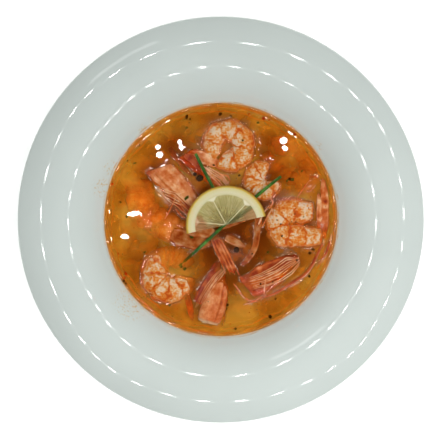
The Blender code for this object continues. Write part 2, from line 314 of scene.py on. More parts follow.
# A second one lights the table alone, and nothing shades it, so the table stays an even white.
TABLE_BOX_PLACE, TABLE_BOX_SIZE, TABLE_BRIGHTNESS = (0, 0, 1.6), (1.2, 1.2), 3.6
table_box = lamp("table_box", TABLE_BOX_PLACE, (0, 0, 0), SIDEWAYS, TABLE_BOX_SIZE, TABLE_BRIGHTNESS)
table_only = bpy.data.collections.new("lit by the table box alone")
table_box.light_linking.receiver_collection = table_only
table_box.light_linking.blocker_collection = table_only
for made in (box, table_box):
    made.visible_camera = False
    made.visible_diffuse = True
    made.visible_transmission = True
    made.visible_volume_scatter = True
    made.visible_glossy = False

# %% Sky
SKY_EVEN = 0.68
SKY_LEAN = 0.24  # how much brighter than even the bright side is
BRIGHT_SIDE = (0.55, 0.45, 0.70)
CEILING = 0.12  # share of the light that is left right above the dish

sky = bpy.data.worlds.new("pale studio")
sky.use_nodes = True
node = partial(add, sky.node_tree)
ray = node("TexCoord").outputs["Generated"]
facing = node("VectorMath", (ray, BRIGHT_SIDE), operation="DOT_PRODUCT")
strength = node("MapRange", (facing, -1.0, 1.0, SKY_EVEN - SKY_LEAN, SKY_EVEN + SKY_LEAN))
rise = node("SeparateXYZ", (ray,)).outputs[2]
dark = node("MapRange", (rise, 0.84, 0.95, 1.0, CEILING), interpolation_type="SMOOTHSTEP")
dimmed = node("Math", (strength, dark), operation="MULTIPLY")
feed(sky.node_tree.nodes["Background"], {"Color": "#fbfdfc", "Strength": dimmed})
bpy.context.scene.world = sky
sky.cycles_visibility.glossy = False
print(f"{4 * BARS_PER_SIDE} bars and {len(SPOTS)} spots")

# %% [markdown]
# ## The table
#
# A plain pale sheet that is nearly white, with the faintest grain, so that the plate is the only
# thing with colour.

# %% Floor
# Uncoated paper: matt all over, with faint clouds where its fibres lie closer together.
paper, node, shader = finish("matt white paper")
place = node("TexCoord").outputs["Object"]
grain = node("TexNoise", {"Vector": place, "Scale": 1 / (12 * MM), "Detail": 3.0})
tone = node("ValToRGB", (grain,), stops=((0.3, "#f6f6f5"), (0.7, "#fbfbfa")))
feed(shader, {"Base Color": tone, "Roughness": 0.8})

FLOOR_HALF = 1200  # half the sheet's side in millimetres
floor = piece(
    "floor",
    [(x * FLOOR_HALF, y * FLOOR_HALF, 0) for x, y in ((-1, -1), (1, -1), (1, 1), (-1, 1))],
    [(0, 1, 2, 3)],
)
floor.data.materials.append(paper)
table_only.objects.link(floor)

# %% [markdown]
# ## The glazed plate
#
# Porcelain is pressed, fired, dipped in glaze and fired again. The glaze is glass about a third of a
# millimetre thick, so the highlights are sharp and the body under it is an even, slightly cool white.
# The shape is a turned one, so one section is spun round the axis with bmesh's spin. A finer spin than
# the solid's keeps the long highlights smooth.
#
# Soup has been ladled in and has moved. A thin yellow film lies on the glaze right beside the broth, a
# broken orange line marks how high the oil once stood, and fine flecks have splashed further out. They
# are too thin to be shapes, so they are painted on the glaze by where they lie.

# %% Spin the plate
PLATE_STEPS = 240
SHARP_ANGLE = math.radians(40)


def arc(centre, radius, start, end, count):
    """Points of a circular arc, from slope start to slope end, outwards and upwards."""
    slopes = [start + (end - start) * i / (count - 1) for i in range(count)]
    return [(centre[0] + radius * math.sin(s), centre[1] + radius * math.cos(s)) for s in slopes]


def plate_section():
    """The plate's section, from the axis over its face, round the lip and back underneath."""
    rim_centre = (RIM_CREST_RADIUS, RIM_CREST_HEIGHT - RIM_ARCH)
    well_centre = (FLOOR_RADIUS, FLOOR_HEIGHT + WELL_ARCH)
    edge = math.asin((PLATE_RADIUS - LIP - RIM_CREST_RADIUS) / (RIM_ARCH - LIP))
    floor_flat = [(FLOOR_RADIUS * i / 6, FLOOR_HEIGHT) for i in range(6)]
    well = arc(well_centre, -WELL_ARCH, 0, -STEEPEST, 22)
    rim = arc(rim_centre, RIM_ARCH, -STEEPEST, edge, 40)[1:]
    lip_centre = arc(rim_centre, RIM_ARCH - LIP, edge, edge, 2)[0]
    lip = arc(lip_centre, LIP, edge, edge + math.pi, 12)[1:-1]
    foot_slope = math.asin((FOOT_OUTER - FLOOR_RADIUS) / (WELL_ARCH + WALL))
    under = arc(rim_centre, RIM_ARCH - WALL, edge, -STEEPEST, 20)
    under_well = arc(well_centre, -(WELL_ARCH + WALL), -STEEPEST, -foot_slope, 16)[1:]
    foot = [
        (FOOT_OUTER - 0.1, 0.6),
        (FOOT_OUTER - 0.6, 0.0),
        (FOOT_INNER, 0.0),
        (FOOT_INNER - 0.6, FOOT_HEIGHT),
        (0.0, FOOT_HEIGHT),
    ]
    return floor_flat + well + rim + lip + under + under_well + foot


def spun(name, section, steps):
    """Spins a section given as (radius, height) round the Z axis."""
    shape = bmesh.new()
    corners = [shape.verts.new(Vector((r, 0, z)) * MM) for r, z in section]
    edges = [shape.edges.new(pair) for pair in zip(corners, corners[1:])]
    bmesh.ops.spin(
        shape, geom=corners + edges, cent=(0, 0, 0), axis=(0, 0, 1), angle=2 * math.pi, steps=steps
    )
    bmesh.ops.remove_doubles(shape, verts=shape.verts, dist=1e-6)
    bmesh.ops.recalc_face_normals(shape, faces=shape.faces)
    made = settled(name, shape)
    made.data.set_sharp_from_angle(angle=SHARP_ANGLE)
    return made


plate = spun("soup_plate", plate_section(), PLATE_STEPS)
# Stains lie on the upper side alone, so the glaze has to know which side it is on.
note(plate, "upper", [1.0 if v.normal.z > 0 else 0.0 for v in plate.data.vertices])

# %% Porcelain glaze
# Where soup has splashed beyond the broth: x, y and radius in millimetres.
SPILLS = (
    (-62.0, -58.0, 15.0), (-82.0, 22.0, 9.0), (-76.0, 36.0, 7.0), (-54.0, 63.0, 5.0), (67.0, 51.0, 5.0),
)

# Porcelain under a clear glaze: even and cool, with hard mirror-like highlights.
porcelain, node, shader = finish("glazed porcelain")
place = node("TexCoord").outputs["Object"]
cloud = node("TexNoise", {"Vector": place, "Scale": 1 / (60 * MM), "Detail": 2.0})
body = node("ValToRGB", (cloud,), stops=((0.3, "#cad2ce"), (0.7, "#ced6d2")))

# The yellow film: it begins at the broth and fades out, at a distance from the axis that wanders.
split = node("SeparateXYZ", (place,))
across = node("CombineXYZ", (split.outputs[0], split.outputs[1]))
radius = node("VectorMath", (across,), operation="LENGTH")
patchy = node("TexNoise", {"Vector": place, "Scale": 1 / (6 * MM), "Detail": 4.0, "Roughness": 0.65})
uneven = node("MapRange", (patchy, 0.0, 1.0, -2.2 * MM, 1.0 * MM))
reach = node("Math", (radius, uneven), operation="ADD")
film = node(
    "MapRange",
    (reach, (BROTH_RADIUS - 0.8) * MM, (BROTH_RADIUS + 2.2) * MM, 0.46, 0.0),
    interpolation_type="SMOOTHSTEP",
)
begun = node("MapRange", (radius, (BROTH_RADIUS - 1.4) * MM, (BROTH_RADIUS - 0.2) * MM))
film = node("Math", (film, begun), operation="MULTIPLY")

# The tide line: a fine line that wanders slowly out and in, with gaps in it.
slow = node("TexNoise", {"Vector": place, "Scale": 1 / (26 * MM), "Detail": 1.0})
tide = node("MapRange", (slow, 0.3, 0.7, 0.3 * MM, 2.2 * MM))
beyond = node("Math", (radius, BROTH_RADIUS * MM), operation="SUBTRACT")
from_tide = node("Math", (beyond, tide), operation="SUBTRACT")
off_tide = node("Math", (from_tide,), operation="ABSOLUTE")
tide_line = node("MapRange", (off_tide, 0.1 * MM, 0.6 * MM, 1.0, 0.0))
gaps = node("MapRange", (patchy, 0.46, 0.6, 0.0, 0.75))
broken = node("Math", (tide_line, gaps), operation="MULTIPLY")
both = node("Math", (film, broken), operation="MAXIMUM")

# The flecks: the peaks of a fine noise, kept only near the spills.
fleck = node("TexNoise", {"Vector": place, "Scale": 1 / (1.5 * MM), "Detail": 2.0})
specked = node("MapRange", (fleck, 0.56, 0.66, 0.0, 0.8))
spilled = 0.0
for x, y, size in SPILLS:
    gone = node("VectorMath", (across, (x * MM, y * MM, 0)), operation="DISTANCE")
    there = node(
        "MapRange", (gone, 0.3 * size * MM, size * MM, 1.0, 0.0), interpolation_type="SMOOTHSTEP"
    )
    spilled = node("Math", (spilled, there), operation="MAXIMUM")
flecked = node("Math", (spilled, specked), operation="MULTIPLY")

# None of these is on the underside, which has the same distances from the axis.
upper = node("Attribute", attribute_name="upper").outputs["Fac"]
both = node("Math", (both, upper), operation="MULTIPLY")
flecked = node("Math", (flecked, upper), operation="MULTIPLY")
inked = node("Mix", (both, body, "#b8862e"), data_type="RGBA")
stained = node("Mix", (flecked, inked, "#c89a2c"), data_type="RGBA")
feed(shader, {"Base Color": stained, "Roughness": 0.06, "IOR": 1.52})

shown(plate, porcelain)
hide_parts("plate")

# %% [markdown]
# ## Paths that food follows
#
# A prawn curls in the pot, so its body is a tube that follows a few circular arcs. The solid model
# gives each path as a start, a heading, some arcs and some heights, all in millimetres and degrees. The
# same rules give the same paths here, and finer rings along them give the detail.

# %% Paths and rings


def eased(values, t):
    """A smooth run through evenly spaced values, at t from 0 to 1."""
    place = min(max(t, 0.0), 1.0) * (len(values) - 1)
    i = min(int(place), len(values) - 2)
    u = place - i
    u = u * u * (3 - 2 * u)
    return values[i] * (1 - u) + values[i + 1] * u


def trail(start, heading, bends, levels):
    """A path of circular arcs seen from above, as a function of t from 0 to 1."""
    total = sum(length for length, _ in bends)

    def at(t):
        x, y = start
        angle = math.radians(heading)
        left = t * total
        for length, turn in bends:
            part = min(left, length)
            rate = math.radians(turn) / length
            if abs(rate) < 1e-6:
                x += part * math.cos(angle)
                y += part * math.sin(angle)
            else:
                x += (math.sin(angle + rate * part) - math.sin(angle)) / rate
                y -= (math.cos(angle + rate * part) - math.cos(angle)) / rate
            angle += rate * part
            left -= part
            if left <= 0:
                break
        return Vector((x, y, eased(levels, t)))

    return at


def frames(path, places):
    """(point, direction, side, up) at each place. The side points to the right of the path."""
    found = []
    for t in places:
        before, after = path(max(t - 0.01, 0.0)), path(min(t + 0.01, 1.0))
        direction = (after - before).normalized()
        side = direction.cross(Vector((0, 0, 1))).normalized()
        found.append((path(t), direction, side, side.cross(direction)))
    return found


def skin(name, rings, tips):
    """A closed piece over rings of points, ending in a point at each end."""
    around = len(rings[0])
    points = [p for ring in rings for p in ring] + list(tips)
    faces = []
    for i in range(len(rings) - 1):
        for j in range(around):
            k = (j + 1) % around
            faces.append((i * around + j, i * around + k, (i + 1) * around + k, (i + 1) * around + j))
    last = (len(rings) - 1) * around
    for j in range(around):
        k = (j + 1) % around
        faces.append((k, j, len(points) - 2))
        faces.append((last + j, last + k, len(points) - 1))
    return piece(name, points, faces)


def rough(point, size, seed):
    """Soft noise from about -1 to 1, with lumps of this size in millimetres."""
    return noise.noise(point / size + Vector((seed, 2.7 * seed, 0)))


# %% [markdown]
# ## Cooked prawns
#
# A peeled, cooked prawn is a row of six muscle segments. Each overlaps the next a little, so a groove
# rings the body at every joint. The flesh is white and slightly see-through, and orange-red pigment
# gathers along the joints and the back, in soft patches, freckles and fine veins. One function makes
# every prawn, and it notes at each point how far along the body it lies, counted in segments, and how
# near the back. The material paints the bands from those two numbers and breaks them up with noise.

# %% Prawn bodies
SEGMENTS = 6
ROWS_PER_SEGMENT = 18
PRAWN_SIDES = 44
BODY_TAPER = (0.80, 0.98, 1.0, 0.98, 0.94, 0.86, 0.70)

# Start, heading, arcs and heights of the path, then the girth, the thickness and the belly's share.
PRAWNS = {
    "prawn_top": ((-1.0, 41.5), -30, ((69.9, 345),), (19.2, 19.4, 19.2, 18.8, 18.4), 8.3, 6.4, 1.22),
    "prawn_middle": ((32.6, 34.3), 160, ((38.0, 288),), (19.4, 19.4, 19.2, 18.0), 7.7, 6.2, 1.35),
    "prawn_right": (
        (64.4, 6.4), 178, ((15.5, 0), (31.2, 182), (22, 0)),
        (19.0, 18.8, 18.6, 19.0, 19.6), 8.5, 6.5, 1.28,
    ),
    "prawn_left": (
        (-57.4, 28.0), -90, ((14, 4), (20, 60), (26, 0)),
        (13.0, 16.4, 17.2, 17.4, 18.2), 10.2, 4.3, 1.15,
    ),
    "prawn_lower": ((-38.0, -26.2), 190, ((52.4, 250),), (15.2, 18.0, 19.2, 19.2, 17.6), 9.5, 6.2, 1.32),
}


def segment_swell(share):
    """Share of the girth within a segment: a gentle bulge with a groove at each joint."""
    bulge = 0.98 + 0.045 * math.sin(math.pi * share**0.85)
    groove = 0.075 * math.exp(-((share / 0.05) ** 2)) + 0.035 * math.exp(-(((1 - share) / 0.04) ** 2))
    return bulge - groove


def prawn_body(name, start, heading, bends, levels, girth, thick, belly, seed):
    """A curled prawn on its side, with its place along the body and its back noted."""
    back = 1 if sum(turn for _, turn in bends) > 0 else -1
    path = trail(start, heading, bends, levels)
    rows = SEGMENTS * ROWS_PER_SEGMENT + 1
    places = [i / (rows - 1) for i in range(rows)]
    rings, along, backs = [], [], []
    for t, (point, _, side, up) in zip(places, frames(path, places)):
        share = eased(BODY_TAPER, t) * segment_swell((t * SEGMENTS) % 1.0)
        ring = []
        for j in range(PRAWN_SIDES):
            angle = 2 * math.pi * j / PRAWN_SIDES
            out, rise = math.cos(angle), math.sin(angle)
            wide = girth * share * (belly if out < 0 else 1.0)
            at = point + side * back * out * wide + up * rise * thick * share
            lump = 1.1 * rough(at, 8.0, seed) + 0.5 * rough(at, 3.4, seed + 5)
            lump += 0.22 * rough(at, 1.4, seed + 9)
            ring.append(at + (side * back * out + up * rise) * lump)
            along.append(t * SEGMENTS)
            backs.append(out)
        rings.append(ring)
    neck, tail = frames(path, (0.0, 1.0))
    made = skin(name, rings, (neck[0] - neck[1] * 1.2, tail[0] + tail[1]))
    note(made, "along", along + [0.0, SEGMENTS])
    note(made, "back", backs + [0.0, 0.0])
    return made


# %% Cooked prawn flesh
# Cooked muscle: white and milky, with carotene-orange bands, wet, and soft where light goes in.
# The joint bands come from how far a point is from the middle of its segment, pushed about by noise.
flesh, node, shader = finish("cooked prawn flesh")
place = node("TexCoord").outputs["Object"]
along = node("Attribute", attribute_name="along").outputs["Fac"]
back = node("Attribute", attribute_name="back").outputs["Fac"]
wander = node("TexNoise", {"Vector": place, "Scale": 1 / (5 * MM), "Detail": 3.0})
pushed = node("VectorMath", (wander.outputs["Color"], (0.5, 0.5, 0.5)), operation="SUBTRACT")
drawn = node("VectorMath", (pushed, 4 * MM), operation="SCALE")
warped = node("VectorMath", (place, drawn), operation="ADD")
moved = node("MapRange", (wander, 0.25, 0.75, -0.3, 0.3))
shifted = node("Math", (along, moved), operation="ADD")
share = node("Math", (shifted,), operation="FRACT")
centred = node("Math", (share, 0.5), operation="SUBTRACT")
middle = node("Math", (centred,), operation="ABSOLUTE")
joint = node("MapRange", (middle, 0.3, 0.48, 0.0, 0.9), interpolation_type="SMOOTHSTEP")
spine = node("MapRange", (back, 0.45, 0.98, 0.0, 0.7), interpolation_type="SMOOTHSTEP")
belly = node("MapRange", (back, -0.5, -1.0, 0.0, 0.8), interpolation_type="SMOOTHSTEP")
edges = node("Math", (spine, belly), operation="MAXIMUM")
tinted = node("Math", (joint, edges), operation="MAXIMUM")

# The bands are broken up, and patches and freckles are laid over them. The sum picks the tone.
cloud = node("TexNoise", {"Vector": warped, "Scale": 1 / (7 * MM), "Detail": 3.0, "Roughness": 0.6})
share_here = node("MapRange", (cloud, 0.34, 0.58, 0.35, 1.0))
broken = node("Math", (tinted, share_here), operation="MULTIPLY")
blotch = node("TexNoise", {"Vector": warped, "Scale": 1 / (5.5 * MM), "Detail": 5.0, "Roughness": 0.62})
patch = node("MapRange", (blotch, 0.36, 0.64, -0.26, 0.52))
freckle = node("TexNoise", {"Vector": place, "Scale": 1 / (1.3 * MM), "Detail": 3.0})
freckled = node("MapRange", (freckle, 0.42, 0.68, -0.1, 0.5))
mottled = node("Math", (patch, freckled), operation="ADD")
amount = node("Math", (broken, mottled), operation="ADD", use_clamp=True)
tone = node(
    "ValToRGB",
    (amount,),
    stops=((0.0, "#dabc9c"), (0.14, "#d8a874"), (0.38, "#d2863a"), (0.66, "#d06e18"), (1.0, "#bc4c0a")),
)

# Fine veins run along the edges of cells. Near and below the broth's level the colours are washed out.
net = node("TexVoronoi", {"Vector": warped, "Scale": 1 / (2.4 * MM)}, feature="DISTANCE_TO_EDGE")
vein = node("MapRange", (net, 0.0, 0.16, 0.12, 0.0))
held = node("MapRange", (cloud, 0.36, 0.62, 0.1, 0.9))
veined = node("Math", (vein, held), operation="MULTIPLY")
painted = node("Mix", (veined, tone, "#c0500f"), data_type="RGBA")
height = node("SeparateXYZ", (place,)).outputs[2]
low = node(
    "MapRange",
    (height, (BROTH_LEVEL - 0.6) * MM, (BROTH_LEVEL + 1.7) * MM, 0.62, 0.0),
    interpolation_type="SMOOTHSTEP",
)
soaked = node("Mix", (low, painted, "#cca274"), data_type="RGBA")
relief = node("Bump", {"Height": blotch, "Strength": 0.5, "Distance": 0.6 * MM})
feed(
    shader,
    {
        "Base Color": soaked, "Normal": relief, "Roughness": 0.4, "Specular IOR Level": 0.1,
        "Subsurface Weight": 0.25, "Subsurface Radius": (1.0, 0.4, 0.2),
        "Subsurface Scale": 1.5 * MM, "Coat Weight": 0.22, "Coat Roughness": 0.05,
    },
)

food = {}
for seed, (name, values) in enumerate(PRAWNS.items()):
    food[name] = prawn_body(f"{name}_flesh", *values, seed=seed + 1)
    shown(food[name], flesh)
    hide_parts(name)

# %% [markdown]
# ## Prawns under the broth
#
# Three more lengths of prawn lie on the bottom and only tint the broth. They are made by the same
# function, deeper down, and need no solid of their own because they are wholly sunk.

# %% Sunken prawns
SUNKEN = {
    "sunken_prawn_right": (
        (37.0, 51.0), 20, ((22, -60), (30, -120)), (13.6, 13.6, 13.8, 13.4), 8.6, 4.6, 0.9
    ),
    "sunken_prawn_neck": ((-40.0, -25.6), 8, ((20, -62),), (15.4, 15.8, 15.0), 7.8, 4.4, 1.0),
    "sunken_prawn_back": ((31.0, 47.0), -60, ((30, 40),), (13.0, 12.8, 12.6), 6.0, 3.6, 0.9),
}
for seed, (name, values) in enumerate(SUNKEN.items()):
    food[name] = prawn_body(name, *values, seed=seed + 11)
    shown(food[name], flesh)

# %% [markdown]
# ## Heads in their shells
#
# A prawn's head is one stiff shell, open at the neck, with the legs and gills hanging out along one
# side. It is a loft again: a wide oval that narrows to the beak. The neck is open, so the first rings
# turn in and run back inside the shell to the meat. A crease runs along the side of a real shell, and it
# is cut into the loft by moving points in.

# %% Head shells
HEAD_ROWS = 64
HEAD_SIDES = 56
HEAD_SHAPE = (  # place along the head, share of its width, share of its thickness
    (0.0, 0.93, 0.88),
    (0.14, 1.0, 1.0),
    (0.36, 1.0, 1.0),
    (0.58, 0.90, 0.92),
    (0.76, 0.68, 0.72),
    (0.9, 0.42, 0.46),
    (1.0, 0.2, 0.2),
)
BEAK = 3.5
SHELL = 0.5
BELLY_SHARE = 0.9
NECK_RINGS = ((4.0, 0.9), (2.0, 0.75), (1.1, 0.6))  # how far set in, and share of the neck's hollow
CREASE_TURN, CREASE_DRIFT, CREASE_WIDTH, CREASE_DEPTH = 0.95, 0.25, 0.09, 0.9

# Start, heading, arcs and heights of the path, then girth, thickness, slant and hollow of the neck, and
# redness.
HEADS = {
    "head_upper": ((-43.1, 36.4), -46, ((49, -6),), (19.4, 19.0, 17.8), 10.0, 6.2, 0.45, 4.0, 0.35),
    "head_behind": ((-24.8, 46.4), -41, ((32, -4),), (17.4, 17.6, 17.6), 6.4, 5.6, 0.3, 3.0, 0.85),
    "head_lower": ((-9.0, -70.4), 68, ((33, 6),), (23.4, 20.2, 17.4), 8.9, 6.0, -0.1, -2.2, 0.45),
    "head_right": ((17.4, -47.0), 19, ((38, 14),), (18.4, 18.4, 18.6), 9.6, 5.2, -0.4, 3.0, 0.68),
}


def head_share(t, column):
    """Width (column 1) or thickness (column 2) of the head at t, rounded off between its stations."""
    stations = [row[0] for row in HEAD_SHAPE]
    shares = [row[column] for row in HEAD_SHAPE]
    near = [min(max(t + shift, 0.0), 1.0) for shift in (-0.05, 0.0, 0.05)]
    return float(np.mean(np.interp(near, stations, shares)))


def head_shell(name, start, heading, bends, levels, girth, thick, slant, hollow, red, seed):
    """A head's shell on its side, open at the neck, with its redness noted."""
    path = trail(start, heading, bends, levels)
    places = [i / (HEAD_ROWS - 1) for i in range(HEAD_ROWS)]
    rings, reds, meats, grain = [], [], [], []
    length = sum(run for run, _ in bends)

    def ring_at(t, thinner, deeper):
        point, direction, side, up = frames(path, (t,))[0]
        lean = side - direction * slant * (1 - t) ** 2
        wide = girth * head_share(t, 1) - thinner
        tall = thick * head_share(t, 2) - thinner
        ring = []
        for j in range(HEAD_SIDES):
            angle = 2 * math.pi * j / HEAD_SIDES
            out, rise = math.cos(angle), math.sin(angle)
            at = point + direction * deeper
            at += lean * out * wide * (BELLY_SHARE if out < 0 else 1.0) + up * rise * tall
            off_crease = (angle - CREASE_TURN - CREASE_DRIFT * t) / CREASE_WIDTH
            crease = math.exp(-(off_crease**2)) * (t > 0.05) * (t < 0.8)
            lump = 0.6 * rough(at, 6.0, seed) + 0.15 * rough(at, 1.8, seed + 4) - CREASE_DEPTH * crease
            ring.append(at + (lean * out + up * rise) * (0.0 if thinner else lump))
            stain = 0.5 + 0.5 * rough(at, 9.0, seed + 8)
            reds.append(min(1.0, max(0.0, red + 0.35 * (stain - 0.5) + 0.35 * crease)))
            meats.append(1.0 if thinner > SHELL else 0.0)
            grain.append((t * length, out * wide, rise * tall))
        return ring

    rings += [ring_at(0.0, thinner, hollow * depth) for thinner, depth in NECK_RINGS]
    rings.append(ring_at(0.0, SHELL, 0.4))
    rings += [ring_at(t, 0.0, 0.0) for t in places]
    neck, beak = frames(path, (0.0, 1.0))
    made = skin(name, rings, (neck[0] + neck[1] * hollow, beak[0] + beak[1] * BEAK))
    note(made, "redness", reds + [red, red])
    note(made, "meat", meats + [1.0, 0.0])
    note(made, "grain", grain + [(0.0, 0.0, 0.0), (length, 0.0, 0.0)])
    return made


# %% Cooked prawn shell
# Thin cooked shell: pink-orange with darker red freckles, horny and wet, so sharper in gloss than flesh.
# Shell and thin skin share their streaks, which run along the piece, and their soft patches.


def streaked(name, squeeze, patch_size, lean, stops):
    """A shell finish so far: (material, node adder, shader, tone, streaks)."""
    made, node, shader = finish(name)
    place = node("TexCoord").outputs["Object"]
    redness = node("Attribute", attribute_name="redness").outputs["Fac"]
    grain = node("Attribute", attribute_name="grain").outputs["Vector"]
    drawn_out = node("VectorMath", (grain, squeeze), operation="MULTIPLY")
    streak = node("TexNoise", {"Vector": drawn_out, "Scale": 1.0, "Detail": 3.0, "Roughness": 0.65})
    streaks = node("MapRange", (streak, 0.34, 0.66, -0.08, 0.08))
    cloud = node(
        "TexNoise", {"Vector": place, "Scale": 1 / (patch_size * MM), "Detail": 4.0, "Roughness": 0.6}
    )
    patch = node("MapRange", (cloud, 0.34, 0.66, *lean))
    both = node("Math", (streaks, patch), operation="ADD")
    amount = node("Math", (redness, both), operation="ADD", use_clamp=True)
    return made, node, shader, node("ValToRGB", (amount,), stops=stops), streak


SHELL_TONES = ((0.0, "#eab98a"), (0.28, "#d88a54"), (0.6, "#bf5a20"), (1.0, "#8a2c08"))
shell, node, shader, tone, streak = streaked(
    "cooked prawn shell", (0.06, 0.5, 0.5), 6, (-0.26, 0.24), SHELL_TONES
)
place = node("TexCoord").outputs["Object"]
freckle = node("TexNoise", {"Vector": place, "Scale": 1 / (1.1 * MM), "Detail": 2.0})
freckled = node("MapRange", (freckle, 0.56, 0.7, 0.0, 0.45))
spotted = node("Mix", (freckled, tone, "#b04a1c"), data_type="RGBA")
meat = node("Attribute", attribute_name="meat").outputs["Fac"]
filled = node("Mix", (meat, spotted, "#dcb78c"), data_type="RGBA")
relief = node("Bump", {"Height": streak, "Strength": 0.5, "Distance": 0.6 * MM})
feed(
    shader,
    {
        "Base Color": filled, "Normal": relief, "Roughness": 0.4, "Specular IOR Level": 0.1,
        "Subsurface Weight": 0.18, "Subsurface Radius": (1.0, 0.35, 0.15),
        "Subsurface Scale": 1.2 * MM, "Coat Weight": 0.28, "Coat Roughness": 0.05,
    },
)

for seed, (name, values) in enumerate(HEADS.items()):
    food[name] = head_shell(f"{name}_shell", *values, seed=seed + 21)
    shown(food[name], shell)
    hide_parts(name)

# %% [markdown]
# ## Blades and membranes
#
# Tail fans, loose strips of shell and the thin skins that join the legs are flat, tapering strips. Each
# one is a loft over a flat oval, a little wavy, with fine ribs along it where the real one has them.

# %% Blades
LIMB_TAPER = (0.75, 1.0, 1.0, 0.95, 0.8, 0.45)
BLADE_ROWS = 46
BLADE_SIDES = 26
RIB_HEIGHT, RIBS_ACROSS = 0.16, 9.0


def blade(name, start, heading, bends, levels, wide, thick, red, seed):
    """A flat tapering strip with fine ribs along it."""
    path = trail(start, heading, bends, levels)
    places = [i / (BLADE_ROWS - 1) for i in range(BLADE_ROWS)]
    rings, reds, grain = [], [], []
    length = sum(run for run, _ in bends)
    for t, (point, _, side, up) in zip(places, frames(path, places)):
        share = eased(LIMB_TAPER, t)
        ring = []
        for j in range(BLADE_SIDES):
            angle = 2 * math.pi * j / BLADE_SIDES
            out, rise = math.cos(angle), math.sin(angle)
            rib = RIB_HEIGHT * math.cos(out * RIBS_ACROSS) * (1 - 0.6 * t)
            at = point + side * out * wide * share + up * rise * (thick * share + rib)
            at += up * 0.35 * rough(at, 5.0, seed) + side * 0.5 * rough(point, 8.0, seed + 3)
            ring.append(at)
            grain.append((t * length, out * wide, rise * thick))
            reds.append(min(1.0, max(0.0, red + 0.5 * rough(at, 3.5, seed + 6) - 0.25 * (rib > 0.08))))
        rings.append(ring)
    first, last = frames(path, (0.0, 1.0))
    made = skin(name, rings, (first[0] - first[1] * 0.8, last[0] + last[1] * 1.6))
    note(made, "redness", reds + [red, red])
    note(made, "grain", grain + [(0.0, 0.0, 0.0), (length, 0.0, 0.0)])
    return made


# %% Thin prawn skin
# Thin skin lets what lies under it through, so it is half clear and a little darker than a whole shell.
SKIN_TONES = ((0.0, "#ecb078"), (0.35, "#d88444"), (0.7, "#bc5820"), (1.0, "#8a2c08"))
membrane, node, shader, tone, streak = streaked(
    "thin prawn skin", (0.08, 0.9, 0.9), 4, (-0.2, 0.2), SKIN_TONES
)
relief = node("Bump", {"Height": streak, "Strength": 0.35, "Distance": 0.6 * MM})
feed(
    shader,
    {
        "Base Color": tone, "Normal": relief, "Transmission Weight": 0.5, "IOR": 1.1,
        "Roughness": 0.0, "Specular IOR Level": 0.1, "Coat Weight": 0.28, "Coat Roughness": 0.05,
    },
)

# %% Lay the blades out
# Skins with meat right behind them, fans and sunken strips let nothing through, so they are shell.
LINED = (
    "legs_middle_skin", "legs_upper_skin", "legs_behind_skin", "legs_lower_skin", "legs_right_skin",
    "tail_fan_outer", "tail_fan_inner", "pink_blade", "sunken_blade", "sunken_strip",
)

# Start, heading, arcs and heights of the path, then the half width, the thickness and the redness.
BLADES = {
    "tail_fan_outer": ((71.8, -12.6), 86, ((22, 4), (18, 6)), (19.8, 22.8, 23.2, 23.2), 3.2, 1.3, 0.55),
    "tail_fan_inner": ((70.4, -11.0), 96, ((28, -4),), (20.0, 22.9, 23.4), 2.3, 1.2, 0.35),
    "legs_middle_skin": ((-3.4, -14.6), -61, ((25, 2),), (21.8, 21.9, 21.8), 4.2, 1.0, 0.75),
    "loose_shell_strip": ((25.3, -1.4), -86, ((13, -12), (20, -44)), (22.2, 22.5, 22.2), 2.3, 0.7, 0.5),
    "loose_tail_blade": ((3.8, -12.6), -28, ((14, 4),), (22.2, 22.2, 21.8), 2.9, 0.9, 0.44),
    "legs_upper_skin": ((-39.6, 22.0), -40, ((46, -8),), (21.0, 21.8, 21.4), 4.0, 1.8, 1.0),
    "legs_behind_skin": ((-14.0, 33.6), -38, ((20, 0),), (19.4, 20.4, 20.6), 3.6, 2.0, 0.60),
    "legs_lower_skin": ((-16.0, -57.8), 57, ((33, 10),), (22.8, 21.8, 19.2), 4.4, 1.7, 1.0),
    "legs_right_skin": ((22.0, -40.6), 22, ((34, 6),), (21.2, 22.0, 21.2), 6.0, 1.9, 1.0),
    "beak_left": ((-23.5, -6.6), -6, ((20, -6),), (23.6, 24.6, 24.0), 4.6, 0.9, 0.40),
    "beak_right": ((1.0, -5.8), 18, ((27, 10),), (24.0, 25.6, 25.2), 1.7, 0.8, 0.62),
    "beak_tip": ((24.0, 4.6), -60, ((10, -20),), (26.4, 26.2, 25.0), 2.6, 0.8, 0.5),
    "left_end_skin": ((-34.2, -10.2), -24, ((15, 12), (12, 14)), (21.7, 22.1, 22.1), 6.4, 0.6, 0.46),
    "pink_blade": ((-21.8, 45.2), -6, ((22, -28),), (21.4, 22.4, 22.0), 4.6, 0.9, 0.46),
    "sunken_blade": ((-24.6, -50.7), -72, ((21, -10),), (19.6, 19.8, 19.0), 2.4, 0.7, 0.80),
    "sunken_strip": ((-36.0, 50.0), -58, ((24, 14),), (18.6, 19.0, 18.6), 2.2, 0.6, 0.95),
}
for seed, (name, values) in enumerate(BLADES.items()):
    food[name] = blade(name, *values, seed=seed + 31)
    shown(food[name], shell if name in LINED else membrane)
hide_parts("shell_strip")
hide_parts("tail_blade")
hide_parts("legs_middle")

# %% [markdown]
# ## Legs, swimmerets and feelers
#
# All these are thin tapering ribbons that lie on the food or on the broth. Geometry Nodes suit them: each
# ribbon is only a few points joined by edges, and one tree rounds the line off, sweeps a flat oval along
# it and gives it its material. The half width is an attribute, so each ribbon tapers as it should.
#
# Heights aren't typed in. A search tree of the pieces so far tells how high the food is at a place, so
# every ribbon lies on what is under it.

# %% A tree that sweeps ribbons


def socket_of(tree, label):
    """The identifier of a group's input, which a modifier is set by."""
    sockets = [s for s in tree.interface.items_tree if s.in_out == "INPUT"]
    return next(s.identifier for s in sockets if s.name == label)


